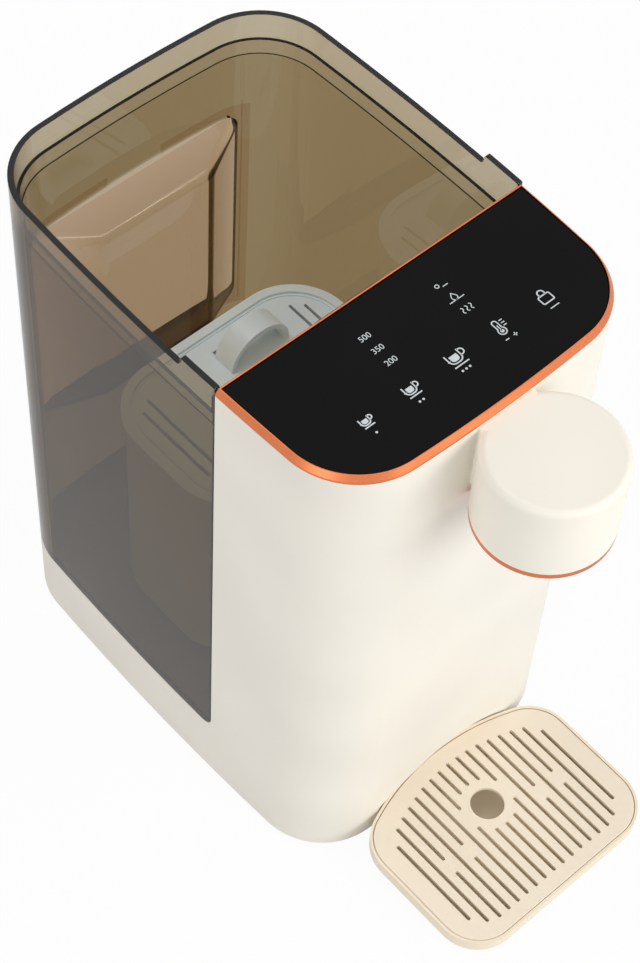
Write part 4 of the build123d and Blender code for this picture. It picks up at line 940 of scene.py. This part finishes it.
    def numbers(self, shop: Workshop, height: float) -> None:
        """Print the three plain volume numbers.

        Args:
            shop: the workshop.
            height: height of the glass.
        """
        for text, row in zip(self.volumes, self.volume_rows):
            curve = bpy.data.curves.new("volume_" + text, "FONT")
            curve.body = text
            curve.size = self.digit_height * MM
            curve.align_x = "CENTER"
            curve.align_y = "CENTER"
            curve.extrude = self.ink / 2
            writing = bpy.data.objects.new("volume_" + text, curve)
            bpy.context.scene.collection.objects.link(writing)
            bpy.context.view_layer.update()
            solved = writing.evaluated_get(bpy.context.evaluated_depsgraph_get())
            data = bpy.data.meshes.new_from_object(solved)
            bpy.data.objects.remove(writing)
            mesh = bmesh.new()
            mesh.from_mesh(data)
            middle = Vector((self.volume_x * MM, row * MM + SPLIT_Y, height + self.lift + self.ink / 2))
            bmesh.ops.translate(mesh, verts=mesh.verts, vec=middle)
            bmesh.ops.remove_doubles(mesh, verts=mesh.verts, dist=MERGE_REACH)
            shop.hang(mesh, "panel_number_" + text, "base", Skin.PANEL_INK)

    def build(self, shop: Workshop) -> None:
        """Dress the panel's nodes and print its marks.

        Args:
            shop: the workshop.
        """
        shop.dress(*self.nodes)
        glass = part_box("glass_panel")[1].z
        sheet = InkSheet(glass + self.lift, self.ink)
        for key in (Key.SMALL_CUP, Key.MEDIUM_CUP, Key.LARGE_CUP):
            self.cup(sheet, (key.value[0], self.key_row), key.value[1])
        self.warmth(sheet, (Key.WARMTH.value[0], self.key_row), Key.WARMTH.value[1])
        self.lock(sheet, (Key.LOCK.value[0], self.key_row), Key.LOCK.value[1])
        self.lights(sheet)
        self.labels(sheet)
        shop.hang(sheet.mesh, "panel_marks", "base", Skin.PANEL_INK)
        self.numbers(shop, glass)
        log.info("touch panel printed")


@dataclass
class Assembly:
    """A sub-assembly whose frame nodes keep their shapes and take their finish."""

    nodes: tuple[str, ...] = ()
    done: str = ""

    def build(self, shop: Workshop) -> None:
        """Dress the nodes.

        Args:
            shop: the workshop.
        """
        shop.dress(*self.nodes)
        log.info(self.done)


@dataclass
class BodyShell(Assembly):
    """Cream shell of tower and base, its bottom plate, feet and cord gland."""

    nodes: tuple[str, ...] = ("main_shell", "bottom_plate", "bottom_screws", "feet", "cord_gland")
    done: str = "body shell dressed"


@dataclass
class Spout(Assembly):
    """Cream spout head with its ring, floor, nozzle and outlet hose."""

    nodes: tuple[str, ...] = ("spout_cover", "spout_ring", "spout_floor", "spout_screws", "nozzle",
                              "nozzle_seal", "outlet_hose")
    done: str = "spout dressed"


@dataclass
class WaterTank(Assembly):
    """Smoked tank with its valve, float and float cage."""

    nodes: tuple[str, ...] = ("tank_shell", "tank_valve_body", "valve_nut", "valve_plunger", "valve_seal",
                              "valve_spring", "float_cage", "level_float")
    done: str = "water tank dressed"


@dataclass
class FilterUnit(Assembly):
    """White filter unit that stands in the tank."""

    nodes: tuple[str, ...] = ("filter_case", "filter_media", "filter_seal", "filter_cover")
    done: str = "filter unit dressed"


@dataclass
class DripTray(Assembly):
    """Drip tray and its slotted grille."""

    nodes: tuple[str, ...] = ("tray_body", "tray_grille")
    done: str = "drip tray dressed"


@dataclass
class WaterPath(Assembly):
    """Socket, hoses, pump, flow meter, heater and steam separator inside the tower."""

    nodes: tuple[str, ...] = ("tank_socket", "socket_seal", "socket_screws", "inlet_hose", "pump_mounts",
                              "pump_housing", "pump_impeller", "pump_motor", "pump_hose", "flow_meter_body",
                              "flow_turbine", "heater_hose", "heater_tube", "heater_caps", "heater_bracket",
                              "thermal_cutouts", "hot_hose", "steam_separator", "outlet_sensor", "hose_clips")
    done: str = "water path dressed"


@dataclass
class Electrics(Assembly):
    """Inner frame, power board and reed switch."""

    nodes: tuple[str, ...] = ("module_frame", "frame_screws", "board_spacers", "power_board",
                              "board_components", "power_screws", "reed_switch")
    done: str = "inner frame and boards dressed"


def main() -> None:
    """Build the scene piece by piece."""
    logging.basicConfig(level=logging.INFO, format="%(message)s")
    shop = Workshop()
    bpy.context.scene.view_settings.view_transform = "Standard"
    ProductCamera().build()
    Studio().build()
    for assembly in (BodyShell(), TouchPanel(), Spout(), WaterTank(), FilterUnit(), DripTray(), WaterPath(),
                     Electrics()):
        assembly.build(shop)


if __name__ == "__main__":
    main()
